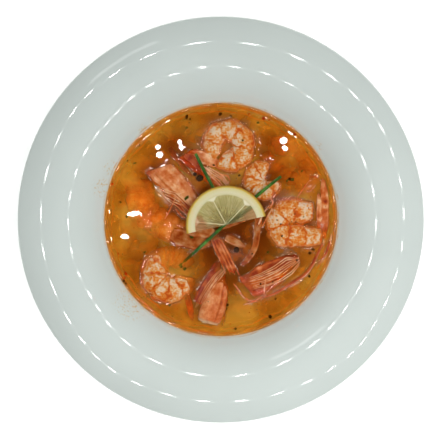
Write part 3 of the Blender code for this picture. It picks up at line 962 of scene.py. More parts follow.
def geometry_group(name, inputs):
    """A node group for a modifier, with these named inputs as (label, kind, value)."""
    tree = bpy.data.node_groups.new(name, "GeometryNodeTree")
    tree.interface.new_socket("Geometry", in_out="OUTPUT", socket_type="NodeSocketGeometry")
    tree.interface.new_socket("Geometry", in_out="INPUT", socket_type="NodeSocketGeometry")
    for label, kind, value in inputs:
        socket = tree.interface.new_socket(label, in_out="INPUT", socket_type=f"NodeSocket{kind}")
        if value is not None:
            socket.default_value = value
    return tree


def grown(name, seeds, tree, values):
    """Runs a tree on an object, keeps the result as a plain mesh and removes the rest."""
    step = seeds.modifiers.new("grow", "NODES")
    step.node_group = tree
    for label, value in values.items():
        step[socket_of(tree, label)] = value
    ready = seeds.evaluated_get(bpy.context.evaluated_depsgraph_get())
    mesh = bpy.data.meshes.new_from_object(ready)
    bpy.data.objects.remove(seeds)
    mesh.name = name
    return placed(name, mesh)


sweep = geometry_group(
    "sweep_ribbons",
    (
        ("Material", "Material", None),
        ("Sides", "Int", 8),
        ("Flatness", "Float", 0.5),
        ("Step", "Float", 0.0006),
    ),
)
node = partial(add, sweep)
start = node("NodeGroupInput")
strings = node("GeometryNodeMeshToCurve", (start.outputs["Geometry"],))
bent = node("GeometryNodeCurveSplineType", (strings,), spline_type="CATMULL_ROM")
even = node("GeometryNodeResampleCurve", {0: bent, "Length": start.outputs["Step"]}, mode="LENGTH")
level = node("GeometryNodeSetCurveNormal", (even,), mode="Z_UP")
hoop = node("GeometryNodeCurvePrimitiveCircle", {"Resolution": start.outputs["Sides"], "Radius": 1.0})
flat = node("ShaderNodeCombineXYZ", (1.0, start.outputs["Flatness"], 1.0))
oval = node("GeometryNodeTransform", {0: hoop, "Scale": flat})
girth = node("GeometryNodeInputNamedAttribute", {"Name": "girth"}, data_type="FLOAT")
tube = node(
    "GeometryNodeCurveToMesh",
    {"Curve": level, "Profile Curve": oval, "Scale": girth, "Fill Caps": True},
)
soft = node("GeometryNodeSetShadeSmooth", (tube,))
real = node("GeometryNodeRealizeInstances", (soft,))
dressed = node("GeometryNodeSetMaterial", {0: real, "Material": start.outputs["Material"]})
node("NodeGroupOutput", (dressed,))

# %% Ribbons that lie on the food
LEG_TAPER = (0.55, 0.95, 1.0, 0.9, 0.7, 0.25)
HIGH_UP = 60
DOWN = Vector((0, 0, -1))


def pile(things):
    """A search tree over some pieces, for laying others on top of them."""
    corners, faces = [], []
    for made in things:
        first = len(corners)
        corners += [v.co / MM for v in made.data.vertices]
        faces += [[first + i for i in p.vertices] for p in made.data.polygons]
    return BVHTree.FromPolygons(corners, faces)


def resting(tree, x, y, lift):
    """The height at which something lies on the food at (x, y), or on the broth beside it."""
    hit = tree.ray_cast(Vector((x, y, HIGH_UP)), DOWN)[0]
    return max(hit.z if hit else 0.0, BROTH_LEVEL) + lift


def laid(tree, places, lift, steps=4):
    """Points of a line over the food, with more between the given ones."""
    flat = []
    for (x0, y0), (x1, y1) in zip(places, places[1:]):
        flat += [(x0 + (x1 - x0) * k / steps, y0 + (y1 - y0) * k / steps) for k in range(steps)]
    return [Vector((x, y, resting(tree, x, y, lift))) for x, y in flat + [places[-1]]]


def fan(first, last, count, wander, seed):
    """Lines between a first and a last one, each given by the same number of places."""
    lines = []
    for i in range(count):
        share = i / max(1, count - 1)
        line = []
        for (x0, y0), (x1, y1) in zip(first, last):
            x, y = x0 + (x1 - x0) * share, y0 + (y1 - y0) * share
            drift = noise.noise_vector(Vector((x / 9, y / 9, seed + i * 3.1)))
            line.append((x + wander * drift.x, y + wander * drift.y))
        lines.append(line)
    return lines


def ribbons(name, lines, material, flatness=0.5, sides=8, taper=LEG_TAPER, step=0.6):
    """One mesh of ribbons. Each line is (points, half width in millimetres, redness)."""
    mesh = bpy.data.meshes.new(name)
    points, edges, girths, reds = [], [], [], []
    for line, half, red in lines:
        first = len(points)
        points += [p * MM for p in line]
        edges += [(first + i, first + i + 1) for i in range(len(line) - 1)]
        girths += [half * MM * eased(taper, i / (len(line) - 1)) for i in range(len(line))]
        reds += [red + 0.15 * noise.noise(p / 4) for p in line]
    mesh.from_pydata(points, edges, [])
    seeds = placed(name + "_lines", mesh)
    note(seeds, "girth", girths)
    note(seeds, "redness", reds)
    values = {"Material": material, "Sides": sides, "Flatness": flatness, "Step": step * MM}
    return grown(name, seeds, sweep, values)


# %% Where the legs lie
bed = pile(food.values())
# The vector noise takes its offsets from a seed that changes with the clock unless it is set.
FAN_SEED = 3
noise.seed_set(FAN_SEED)
upper_legs = fan(
    [(-45.8, 24.2), (-38.2, 20.8), (-32.0, 18.6), (-26.2, 14.6), (-22.0, 9.0)],
    [(-45.0, 20.8), (-40.5, 15.6), (-35.0, 11.8), (-30.0, 8.6), (-25.5, 3.6)],
    5, 1.3, 1,
)
lower_legs = fan(
    [(0.4, -34.4), (-4.6, -39.0), (-10.4, -46.6), (-15.4, -55.2), (-17.6, -61.4)],
    [(3.4, -36.4), (-0.4, -40.6), (-4.6, -46.4), (-8.6, -52.8), (-11.4, -58.4)],
    5, 0.8, 2,
)
right_legs = fan(
    [(53.4, -26.0), (45.8, -26.8), (36.4, -33.0), (27.6, -37.8), (19.4, -40.8)],
    [(56.0, -30.6), (50.4, -37.4), (43.4, -42.8), (34.0, -46.2), (22.6, -48.6)],
    8, 1.6, 3,
)
middle_legs = fan(
    [(-6.8, -14.4), (-3.2, -22.0), (0.6, -29.6), (3.6, -38.2)],
    [(0.4, -14.4), (4.6, -22.4), (8.2, -30.2), (12.6, -38.6)],
    4, 0.8, 4,
)
behind_legs = fan(
    [(-14.0, 35.0), (-8.0, 31.0), (-3.0, 27.0), (2.0, 22.0)],
    [(-10.0, 38.0), (-4.0, 34.0), (1.5, 30.0), (6.4, 25.0)],
    5, 1.4, 5,
)

# Each bunch with its legs' half width and redness.
LEG_LIFT, STRAND_LIFT = 0.25, 0.2
lines = []
for bunch, half, red in (
    (upper_legs, 0.30, 0.08),
    (lower_legs, 0.30, 0.26),
    (right_legs, 0.34, 0.16),
    (middle_legs, 0.62, 0.50),
    (behind_legs, 0.50, 0.15),
):
    lines += [(laid(bed, line, LEG_LIFT), half, red) for line in bunch]
print(f"{len(lines)} legs in five bunches")

# %% Loose strands
# Single strands: where each one lies, its half width and its redness.
LOOSE = (
    ([(-31.2, 19.0), (-32.3, 13.7), (-36.5, 5.3), (-39.3, 0.4)], 0.45, 0.25),
    ([(-31.6, 12.3), (-26.0, 10.2), (-22.5, 6.0)], 0.5, 0.35),
    ([(-31.6, 7.4), (-27.4, 2.5), (-24.6, 1.1)], 0.45, 0.3),
    ([(-29.0, 15.0), (-27.0, 8.0), (-24.0, 3.0)], 0.4, 0.5),
    ([(-1.5, -14.3), (6.8, -27.6), (15.3, -42.3)], 0.4, 0.85),
    ([(31.5, -41.6), (30.4, -49.3), (31.5, -54.2)], 0.5, 0.2),
    ([(16.0, -59.8), (23.7, -57.0), (30.0, -53.5)], 0.4, 0.2),
    ([(11.8, -50.0), (18.8, -56.3), (25.8, -57.7)], 0.4, 0.3),
    ([(9.0, -45.0), (14.6, -52.4), (20.4, -56.8)], 0.4, 0.55),
    ([(53.2, 15.1), (58.1, 22.1), (63.7, 29.8)], 0.35, 0.5),
    ([(60.2, 19.3), (63.6, 20.8), (66.5, 24.2)], 0.4, 0.3),
    ([(62.3, 27.0), (65.4, 28.6), (67.9, 31.2)], 0.5, 0.2),
    ([(76.3, -14.3), (74.2, -22.7), (67.9, -31.8)], 0.7, 0.8),
    ([(77.6, -10.0), (76.4, -18.0), (73.0, -27.0)], 0.35, 0.2),
    ([(4.8, -49.3), (3.4, -59.8), (2.7, -68.9), (1.3, -75.2)], 0.3, 0.6),
    ([(25.8, -4.5), (29.3, 3.9), (34.3, 10.2)], 0.7, 0.1),
    ([(28.6, -5.6), (33.2, 2.8), (36.4, 8.4)], 0.6, 0.25),
    ([(31.0, 14.8), (34.4, 15.6), (36.6, 12.4), (35.2, 8.6), (32.2, 8.2)], 0.7, 0.25),
    ([(34.0, 11.8), (36.8, 5.0), (37.2, -1.0)], 0.6, 0.2),
    ([(-3.6, 33.3), (0.4, 31.6), (1.4, 28.0), (-1.6, 26.8)], 0.5, 0.1),
    ([(1.0, 31.6), (5.2, 30.4), (6.4, 26.8), (3.6, 24.8)], 0.5, 0.15),
    ([(-4.8, 29.0), (-1.0, 25.0), (3.2, 22.8)], 0.5, 0.35),
    ([(3.2, 47.0), (6.2, 48.6), (8.4, 46.6), (6.6, 44.6)], 0.5, 0.1),
    ([(4.6, 46.0), (8.4, 49.4), (10.2, 45.6)], 0.4, 0.3),
    ([(62.0, 30.0), (66.4, 29.8), (70.6, 27.0)], 0.5, 0.7),
)
lines += [(laid(bed, places, STRAND_LIFT, 5), half, red) for places, half, red in LOOSE]
legs = ribbons("legs_and_strands", lines, shell, flatness=0.55)
shown(legs, shell)
food["legs_and_strands"] = legs

# %% The long feeler
# A feeler is a stiff red whip that lies along the edge of the broth. It follows the solid's own path.
FEELER = ((71.0, -17.4), -116, ((16, 0), (12, -32), (18, 0), (13, -24)), (22.4, 22.2, 22.0))
path = trail(*FEELER)
line = [path(i / 24) for i in range(25)]
# A thin paler ribbon along its upper side is a painted highlight.
HIGHLIGHT_STRIP_SHIFT = Vector((0.5, -0.6, 0.75))
whip = [(line, 1.15, 0.80), ([p + HIGHLIGHT_STRIP_SHIFT for p in line[2:22]], 0.22, 0.3)]
feeler = ribbons("long_feeler", whip, shell, flatness=0.8, sides=10)
shown(feeler, shell)
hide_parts("feeler")
food["long_feeler"] = feeler

# %% [markdown]
# ## Chives
#
# Two lengths of chive: thin hollow stalks, deep green and a little waxy. The same tree sweeps them, with
# more sides and hardly flattened. Their ends are cut straight.

# %% Chives
# Raw chive: dark waxy green, a little paler in places.
leaf, node, shader = finish("chive skin")
place = node("TexCoord").outputs["Object"]
fine = node("TexNoise", {"Vector": place, "Scale": 1 / (1.4 * MM), "Detail": 3.0})
wide = node("TexNoise", {"Vector": place, "Scale": 1 / (9 * MM), "Detail": 1.0})
both = node("Math", (fine, wide), operation="ADD")
half = node("Math", (both, 0.5), operation="MULTIPLY")
tone = node("ValToRGB", (half,), stops=((0.36, "#22470f"), (0.5, "#336019"), (0.64, "#5c8a35")))
feed(shader, {"Base Color": tone, "Roughness": 0.38, "Specular IOR Level": 0.15, "Coat Weight": 0.1})

CHIVE_RADIUS = 1.15
CHIVE_FLATNESS, CHIVE_SIDES = 0.9, 14
CHIVES = {
    "chive_long": ((42.0, 30.2), 218, ((50, 5), (45, -1)), (27.0, 26.8, 26.6, 23.6, 18.4)),
    "chive_short": ((-17.6, 46.0), -64, ((38, 4),), (26.2, 26.8, 26.8)),
}
STALK_TAPER = (0.92, 1.0, 1.0, 1.0, 1.0, 0.9)
for name, values in CHIVES.items():
    path = trail(*values)
    stem = [([path(i / 20) for i in range(21)], CHIVE_RADIUS, 0.0)]
    stalk = ribbons(name + "_stalk", stem, leaf, CHIVE_FLATNESS, CHIVE_SIDES, STALK_TAPER)
    food[name] = shown(stalk, leaf)
    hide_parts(name)

# %% [markdown]
# ## Half a slice of lemon
#
# A slice of lemon has three rings: juicy pulp in wedges, a white pith and a thin oily rind. The pulp is
# half clear, and the pith and rind aren't, so they are two pieces. Both are laid out from the centre in
# polar steps, and each point notes its distance and its direction, so the material can draw the wedges
# and the juice sacs. What shines through the pulp from below is helped along by tints in its colour.

# %% Shape of the slice
LEMON_CENTRE = Vector((3.8, -3.7, 28.2))
LEMON_RADIUS = 28.2
LEMON_THICK = 4.0
LEMON_CUT = math.radians(12.6)
LEMON_DEPTH = 0.97
PULP_SHARE = 0.775
WEDGE_WALLS = [math.radians(a) for a in (12.6, 48, 118, 174, 192.6)]


def lemon_part(name, inner, outer, rings, steps, crown):
    """A flat half ring between two shares of the radius, closed all round.

    crown gives how far its two faces swell at (share of radius, direction), in millimetres.
    """
    points, outs, turns, faces = [], [], [], []
    for layer in (0, 1):
        for i in range(rings + 1):
            share = inner + (outer - inner) * i / rings
            for j in range(steps + 1):
                angle = math.pi * j / steps
                x, y = share * LEMON_RADIUS * math.cos(angle), share * LEMON_RADIUS * math.sin(angle)
                y *= LEMON_DEPTH
                turned = Vector((x, y, 0))
                turned.rotate(Matrix.Rotation(LEMON_CUT, 3, "Z"))
                swell = crown(share, angle + LEMON_CUT)
                z = LEMON_THICK + swell if layer else 0.2 * (1 - abs(swell))
                points.append(LEMON_CENTRE + turned + Vector((0, 0, min(z, LEMON_THICK))))
                outs.append(share)
                turns.append(angle + LEMON_CUT)
    across = steps + 1
    size = (rings + 1) * across
    for layer in (0, 1):
        for i in range(rings):
            for j in range(steps):
                a = layer * size + i * across + j
                faces.append((a, a + across, a + across + 1, a + 1))
    edge = [(i * across, (i + 1) * across) for i in range(rings)]
    edge += [(i * across + steps, (i + 1) * across + steps) for i in range(rings)]
    edge += [(rings * across + j, rings * across + j + 1) for j in range(steps)]
    if inner > 0:
        edge += [(j, j + 1) for j in range(steps)]
    for a, b in edge:
        faces.append((a, b, b + size, a + size))
    made = piece(name, points, faces)
    note(made, "out", outs)
    note(made, "turn", turns)
    return made


def pulp_crown(share, angle):
    """Wedges of pulp swell between their walls and sink at them."""
    wall = min(abs(angle - a) * max(share, 0.05) * LEMON_RADIUS for a in WEDGE_WALLS)
    sacs = noise.noise(Vector((angle * 22, share * 5, 3)))
    return -0.75 + 0.35 * min(1.0, wall / 2.0) + 0.22 * sacs


def rind_crown(share, angle):
    """The pith is flat and a little rough, and the rind rounds off at its edge."""
    edge = max(0.0, (share - 0.955) / 0.045)
    grain = noise.noise(Vector((math.cos(angle) * share * 16, math.sin(angle) * share * 16, 5)))
    return -0.12 + 0.10 * grain - 0.75 * edge**2


pulp_part = lemon_part("lemon_pulp", 0.001, PULP_SHARE, 44, 200, pulp_crown)
rind_part = lemon_part("lemon_rind", PULP_SHARE - 0.005, 1.0, 24, 200, rind_crown)

# %% Juicy pulp
# What shows through the thin pulp: x, y, radius in millimetres, share and tint. The lower edge lies on a
# pink head. The long chive runs under it, at right angles to this direction and this far from the axis.
ACROSS_CHIVE = (-0.604, 0.796, 0.0)
CHIVE_OFFSET = -5.8 * MM
SHOWING_THROUGH = (
    (-16.0, -5.0, 8.0, 0.75, "#c07c50"),
    (-6.0, -7.5, 7.0, 0.6, "#c48a62"),
    (21.0, 2.0, 8.5, 0.7, "#cc9468"),
    (12.0, -2.5, 5.0, 0.45, "#b4805a"),
)

# Lemon pulp: clear, pale olive juice sacs, long and thin, that all point to the centre.
pulp, node, shader = finish("lemon pulp")
place = node("TexCoord").outputs["Object"]
out = node("Attribute", attribute_name="out").outputs["Fac"]
turn = node("Attribute", attribute_name="turn").outputs["Fac"]
around = node("Math", (turn, 15.0), operation="MULTIPLY")
outward = node("Math", (out, 2.6), operation="MULTIPLY")
polar = node("CombineXYZ", (around, outward))
sacs = node("TexVoronoi", {"Vector": polar, "Scale": 1.0}, feature="DISTANCE_TO_EDGE")
line = node("MapRange", (sacs, 0.0, 0.14, 0.22, 0.0))

# The pale walls between the wedges, the core and the rim. The walls widen where they meet the pith.
nearest = 2 * math.pi
for wall in WEDGE_WALLS[1:-1]:
    gap = node("Math", (turn, wall), operation="SUBTRACT")
    size = node("Math", (gap,), operation="ABSOLUTE")
    nearest = node("Math", (nearest, size), operation="MINIMUM")
reach = node("Math", (nearest, out), operation="MULTIPLY")
wall = node("MapRange", (reach, 0.003, 0.016, 0.85, 0.0))
centre = node("MapRange", (out, 0.02, 0.1, 0.8, 0.0))
corner = node("MapRange", (nearest, 0.0, 0.2, 0.09, 0.0), interpolation_type="SMOOTHSTEP")
swollen = node("Math", (out, corner), operation="ADD")
rim = node("MapRange", (swollen, PULP_SHARE - 0.03, PULP_SHARE + 0.01, 0.0, 1.0))
walls = node("Math", (wall, centre), operation="MAXIMUM")
pale = node("Math", (walls, rim), operation="MAXIMUM")
cloud = node("TexNoise", {"Vector": place, "Scale": 1 / (5 * MM), "Detail": 3.0})
tone = node("ValToRGB", (cloud,), stops=((0.3, "#cec27c"), (0.7, "#dacf92")))
lined = node("Mix", (line, tone, "#f0eac8"), data_type="RGBA")
walled = node("Mix", (pale, lined, "#e6dfc0"), data_type="RGBA")

# The tints from below, and a green line along the chive that runs under the slice.
flat = node("VectorMath", (place, (1.0, 1.0, 0.0)), operation="MULTIPLY")
seen = walled
blurred = node("MapRange", (cloud, 0.3, 0.7, -2.5 * MM, 2.5 * MM))
for x, y, size, most, tint in SHOWING_THROUGH:
    gone = node("VectorMath", (flat, (x * MM, y * MM, 0)), operation="DISTANCE")
    edge = node("Math", (gone, blurred), operation="ADD")
    there = node("MapRange", (edge, 0.5 * size * MM, size * MM, most, 0.0))
    seen = node("Mix", (there, seen, tint), data_type="RGBA")
across_stalk = node("VectorMath", (flat, ACROSS_CHIVE), operation="DOT_PRODUCT")
off_stalk = node("Math", (across_stalk, CHIVE_OFFSET), operation="SUBTRACT")
from_stalk = node("Math", (off_stalk,), operation="ABSOLUTE")
stalk = node("MapRange", (from_stalk, 0.8 * MM, 2.0 * MM, 0.6, 0.0))
seen = node("Mix", (stalk, seen, "#5f7440"), data_type="RGBA")
cloudy = node("Math", (pale, line), operation="MAXIMUM")
inward = node("MapRange", (out, 0.25, 0.75, 0.8, 0.52))
clear = node("MapRange", (cloudy, 0.0, 1.0, inward, 0.1))
relief = node("Bump", {"Height": sacs, "Strength": 0.5, "Distance": 0.5 * MM})
feed(
    shader,
    {
        "Base Color": seen, "Transmission Weight": clear, "Normal": relief, "Roughness": 0.08,
        "IOR": 1.12, "Specular IOR Level": 0.2,
    },
)

shown(pulp_part, pulp)
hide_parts("lemon_slice")

# %% Pith and rind
# Lemon pith and rind: dry white pith, then an oily yellow skin with fine pores.
rind, node, shader = finish("lemon pith and rind")
place = node("TexCoord").outputs["Object"]
out = node("Attribute", attribute_name="out").outputs["Fac"]
fleck = node("TexNoise", {"Vector": place, "Scale": 1 / (1.2 * MM), "Detail": 3.0})
jitter = node("MapRange", (fleck, 0.0, 1.0, -0.012, 0.012))
uneven = node("Math", (out, jitter), operation="ADD")
tone = node(
    "ValToRGB",
    (uneven,),
    stops=(
        (0.78, "#cec599"), (0.83, "#d4cba6"), (0.93, "#d0c386"), (0.955, "#c8a42e"), (0.99, "#ac7e1a")
    ),
)
relief = node("Bump", {"Height": fleck, "Strength": 0.3, "Distance": 0.2 * MM})
feed(
    shader,
    {
        "Base Color": tone, "Normal": relief, "Roughness": 0.5, "Subsurface Weight": 0.2,
        "Subsurface Scale": 1.5 * MM,
    },
)

shown(rind_part, rind)
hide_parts("lemon_slice")

# %% [markdown]
# ## Pepper, herbs and chilli
#
# Broken pepper, scraps of herb and red oil-soaked chilli float about. Geometry Nodes place them: one
# flake is made first, and the tree puts it at every listed place, turned and sized at random from a
# fixed seed. The largest ones are listed by where they lie, and a few dozen crumbs are strewn between.

# %% A tree that strews flakes
scatter = geometry_group(
    "scatter_flakes",
    (
        ("Flake", "Object", None),
        ("Material", "Material", None),
        ("Seed", "Int", 1),
        ("Least", "Vector", (0.6, 0.4, 0.5)),
        ("Most", "Vector", (1.3, 0.9, 1.0)),
    ),
)
node = partial(add, scatter)
start = node("NodeGroupInput")
one = node("GeometryNodeObjectInfo", {"Object": start.outputs["Flake"]})
SEED_INPUT = 8  # a random value's seed goes by its number, after the inputs for other kinds of value
UNTURNED, MOST_TURNED = (0.0, 0.0, 0.0), (0.5, 0.5, 6.283)
spin = node(
    "FunctionNodeRandomValue",
    {0: UNTURNED, 1: MOST_TURNED, SEED_INPUT: start.outputs["Seed"]},
    data_type="FLOAT_VECTOR",
)
big = node("GeometryNodeInputNamedAttribute", {"Name": "girth"}, data_type="FLOAT")
stretch = node(
    "FunctionNodeRandomValue",
    {0: start.outputs["Least"], 1: start.outputs["Most"], SEED_INPUT: start.outputs["Seed"]},
    data_type="FLOAT_VECTOR",
)
sized = node("ShaderNodeVectorMath", (stretch, big), operation="SCALE")
dots = node("GeometryNodeMeshToPoints", (start.outputs["Geometry"],))
strewn = node(
    "GeometryNodeInstanceOnPoints",
    {"Points": dots, "Instance": one.outputs["Geometry"], "Rotation": spin, "Scale": sized},
)
real = node("GeometryNodeRealizeInstances", (strewn,))
dressed = node("GeometryNodeSetMaterial", {0: real, "Material": start.outputs["Material"]})
node("NodeGroupOutput", (dressed,))


# %% Flakes and their finishes


def lump(name, detail, rough_share, seed):
    """A small rounded lump with a radius of one metre, for the tree to scale."""
    shape = bmesh.new()
    bmesh.ops.create_icosphere(shape, subdivisions=detail, radius=1.0)
    for v in shape.verts:
        v.co *= 1 + rough_share * noise.noise(v.co * 1.7 + Vector((seed, 0, 0)))
    return settled(name, shape)


def specks(name, material, places, seed, rough_share=0.5, shape=None):
    """Flakes at places given as (x, y, half size) in millimetres."""
    mesh = bpy.data.meshes.new(name)
    spots = [Vector((x, y, resting(bed, x, y, 0.15))) * MM for x, y, _ in places]
    mesh.from_pydata(spots, [], [])
    seeds = placed(name + "_places", mesh)
    note(seeds, "girth", [size * MM for _, _, size in places])
    flake = lump(name + "_one", 2, rough_share, seed)
    values = {"Flake": flake, "Material": material, "Seed": seed, **(shape or {})}
    made = grown(name, seeds, scatter, values)
    bpy.data.objects.remove(flake)
    return shown(made, material)


def spice(name, low, high, gloss):
    """A dull crumbly finish between two tones."""
    made, node, shader = finish(name)
    place = node("TexCoord").outputs["Object"]
    grain = node("TexNoise", {"Vector": place, "Scale": 1 / (0.8 * MM), "Detail": 3.0})
    tone = node("ValToRGB", (grain,), stops=((0.35, low), (0.65, high)))
    relief = node("Bump", {"Height": grain, "Strength": 0.6, "Distance": 0.2 * MM})
    feed(shader, {"Base Color": tone, "Normal": relief, "Roughness": gloss, "Specular IOR Level": 0.0})
    return made


# Ground pepper is nearly black and dull, herb scraps are dark green, chilli is a deep oily red, and whole
# peppercorns have a hard, wrinkled skin that shines a little.
pepper = spice("ground pepper", "#140b03", "#3e2408", 0.5)
herb = spice("cooked herb", "#26300c", "#56561c", 0.45)
chilli = spice("soaked chilli", "#7c1c06", "#b8400e", 0.3)
whole_pepper = spice("whole pepper", "#1c120a", "#4c3420", 0.2)

# %% Flakes and peppercorns
# The largest ones: x, y and half size in millimetres.
BIG_PEPPER = (
    (-23.9, 71.9, 1.9), (-21.6, 70.6, 1.2), (-0.4, 74.0, 1.4), (6.9, 72.6, 1.1), (-7.1, 67.3, 0.8),
    (-65.5, 41.3, 1.0), (-5.0, 38.2, 1.2), (-68.0, -43.0, 1.6), (-66.6, -44.8, 1.0), (27.9, -45.1, 1.2),
    (36.4, -43.7, 1.0), (34.6, -68.2, 1.5), (10.4, -76.6, 1.3), (48.3, 28.4, 1.2), (15.3, 55.4, 1.1),
    (39.2, -0.3, 0.9), (42.0, -3.1, 0.8), (42.7, -11.5, 0.8), (64.6, -21.0, 1.8), (62.4, -23.4, 1.3),
    (53.2, -28.3, 1.1), (38.5, -55.6, 0.9), (62.0, -39.6, 1.2), (-57.2, 52.3, 0.9), (22.0, -24.0, 0.9),
    (4.8, -59.8, 1.2), (4.0, -62.6, 0.9), (-34.0, -68.0, 0.8), (60.6, 47.0, 0.7), (13.0, 31.0, 1.0),
)
BIG_HERB = (
    (-23.9, 64.5, 1.1), (-60.3, 39.6, 0.9), (-70.5, 12.3, 1.2), (-23.9, 15.1, 1.9), (-20.4, -12.2, 1.3),
    (-53.3, -22.7, 1.2), (-25.3, -34.6, 1.3), (-27.6, -33.2, 0.8), (50.0, 28.0, 1.5), (46.6, 27.4, 1.1),
    (33.0, -23.0, 1.1), (-66.0, 2.0, 0.8), (26.0, 68.0, 0.9), (-36.0, -60.0, 1.0), (57.0, 34.0, 0.8),
)
BIG_CHILLI = (
    (-66.6, -38.0, 1.5), (-67.6, -41.0, 1.2), (-76.0, 25.0, 1.0), (30.0, 71.0, 1.4), (34.0, 70.0, 1.0),
    (72.0, -40.0, 1.0), (66.0, -48.0, 1.2), (20.0, 74.0, 0.9), (-72.0, -24.0, 0.9), (52.0, 60.0, 1.1),
)
CRUMB_SEED = 7
rng = np.random.default_rng(CRUMB_SEED)


def crumbs(count, small, large, inner, outer):
    """Crumbs strewn over the broth between two radii, as (x, y, half size)."""
    turns = rng.uniform(0, 2 * math.pi, count)
    radii = np.sqrt(rng.uniform(inner**2, outer**2, count))
    sizes = rng.uniform(small, large, count)
    return [(r * math.cos(a), r * math.sin(a), s) for r, a, s in zip(radii, turns, sizes)]


food["pepper"] = specks("pepper_flakes", pepper, list(BIG_PEPPER) + crumbs(34, 0.25, 0.5, 20, 78), 3)
food["herb"] = specks("herb_scraps", herb, list(BIG_HERB) + crumbs(24, 0.25, 0.55, 20, 78), 5)
food["chilli"] = specks("chilli_crumbs", chilli, list(BIG_CHILLI) + crumbs(60, 0.2, 0.5, 60, 80), 8)
NEARLY_ROUND = {"Least": (0.9, 0.9, 0.85), "Most": (1.05, 1.05, 0.95)}
CORNS = ((-14.8, 29.0, 2.6), (10.9, -21.2, 2.1), (-18.2, 31.8, 1.5))
food["peppercorns"] = specks("peppercorns", whole_pepper, CORNS, 13, 0.12, NEARLY_ROUND)

# %% [markdown]
# ## The broth
#
# Broth wets everything, so its surface climbs a little at the plate and round each piece that breaks
# through. Those small slopes mirror the lamps as dotted lines, and without them the food would look as
# if it were only laid on a sheet. The outline of each piece at the broth's level is found first. Then the
# surface is laid out in rings, and each point is lifted by how near it is to such an outline.
#
# The broth is one closed body from that surface to just inside the plate's wall. It is partly clear and
# partly cloudy, and it takes up blue and green light with depth, so what lies deep turns amber.

# %% Outlines at the level of the broth
CLIMB, CLIMB_REACH = 0.62, 1.25


def outline_points(made):
    """Where the edges of a piece cross the broth's level, in millimetres."""
    mesh = made.data
    corners = np.empty(len(mesh.vertices) * 3)
    mesh.vertices.foreach_get("co", corners)
    corners = corners.reshape(-1, 3) / MM
    edges = np.empty(len(mesh.edges) * 2, int)
    mesh.edges.foreach_get("vertices", edges)
    a, b = corners[edges[0::2]], corners[edges[1::2]]
    cross = (a[:, 2] < BROTH_LEVEL) != (b[:, 2] < BROTH_LEVEL)
    a, b = a[cross], b[cross]
    share = (BROTH_LEVEL - a[:, 2]) / (b[:, 2] - a[:, 2])
    return a + (b - a) * share[:, None]


TOO_SMALL = ("pepper", "herb", "chilli")
wetted = [made for name, made in food.items() if name not in TOO_SMALL]
outline = np.concatenate([outline_points(made) for made in wetted])
near = kdtree.KDTree(len(outline))
for i, point in enumerate(outline):
    near.insert((point[0], point[1], 0), i)
near.balance()
print(f"{len(outline)} outline points")

# %% Broth
BROTH_STEPS = 560
BROTH_RINGS = 132
UNDER_RINGS = 36
INTO_WALL = 0.15  # how far its underside lies in the plate, so that no gap shows between them
UP_THE_WALL = 0.9  # how far past its edge the broth reaches along the wall
WALL_CLIMB, WALL_CLIMB_REACH = 0.4, 1.1
RIPPLE, RIPPLE_SIZE = 0.004, 14
NEAR_FOOD = 1.1  # how fast the note of nearness to food fades
VEIL_DEPTH = 3.4  # how deep a thing lies when cloudiness hides nearly two thirds of it


def climb(away, most, reach):
    """How high wetting lifts the surface at a distance from an edge. It is flat four reaches away."""
    fade = max(0.0, 1 - away / (4 * reach))
    return most * math.exp(-away / reach) * fade * fade


def broth_body():
    """The broth as rings: the surface from the middle out, then the underside back."""
    sunk = pile(food.values())
    turns = [2 * math.pi * j / BROTH_STEPS for j in range(BROTH_STEPS)]
    rings, close, walls, veils = [], [], [], []
    for i in range(1, BROTH_RINGS + 1):
        radius = BROTH_RADIUS * i / BROTH_RINGS
        from_wall = BROTH_RADIUS - radius
        ring = []
        for angle in turns:
            x, y = radius * math.cos(angle), radius * math.sin(angle)
            away = near.find((x, y, 0))[2]
            lift = climb(away, CLIMB, CLIMB_REACH) + climb(from_wall, WALL_CLIMB, WALL_CLIMB_REACH)
            lift += RIPPLE * noise.noise(Vector((x, y, 0)) / RIPPLE_SIZE)
            ring.append(Vector((x, y, BROTH_LEVEL + lift)))
            close.append(math.exp(-away / NEAR_FOOD))
            walls.append(from_wall)
            hit = sunk.ray_cast(Vector((x, y, BROTH_LEVEL + 0.3)), DOWN)[0]
            depth = BROTH_LEVEL - max(hit.z if hit else 0.0, well_height(radius))
            veils.append(1 - math.exp(-max(depth, 0.0) / VEIL_DEPTH))
        rings.append(ring)
    for i in range(UNDER_RINGS):
        radius = (BROTH_RADIUS + UP_THE_WALL) * math.sin((1 - i / UNDER_RINGS) * math.pi / 2) + INTO_WALL
        z = well_height(radius) - INTO_WALL
        rings.append([Vector((radius * math.cos(a), radius * math.sin(a), z)) for a in turns])
    under = [0.0] * (BROTH_STEPS * UNDER_RINGS)
    tips = (Vector((0, 0, BROTH_LEVEL)), Vector((0, 0, FLOOR_HEIGHT - INTO_WALL)))
    made = skin("amber_broth", rings, tips)
    note(made, "close", close + under + [0.0, 0.0])
    note(made, "from_wall", walls + under + [80.0, 80.0])
    note(made, "veil", veils + under + [1.0, 0.0])
    return made


broth_piece = broth_body()
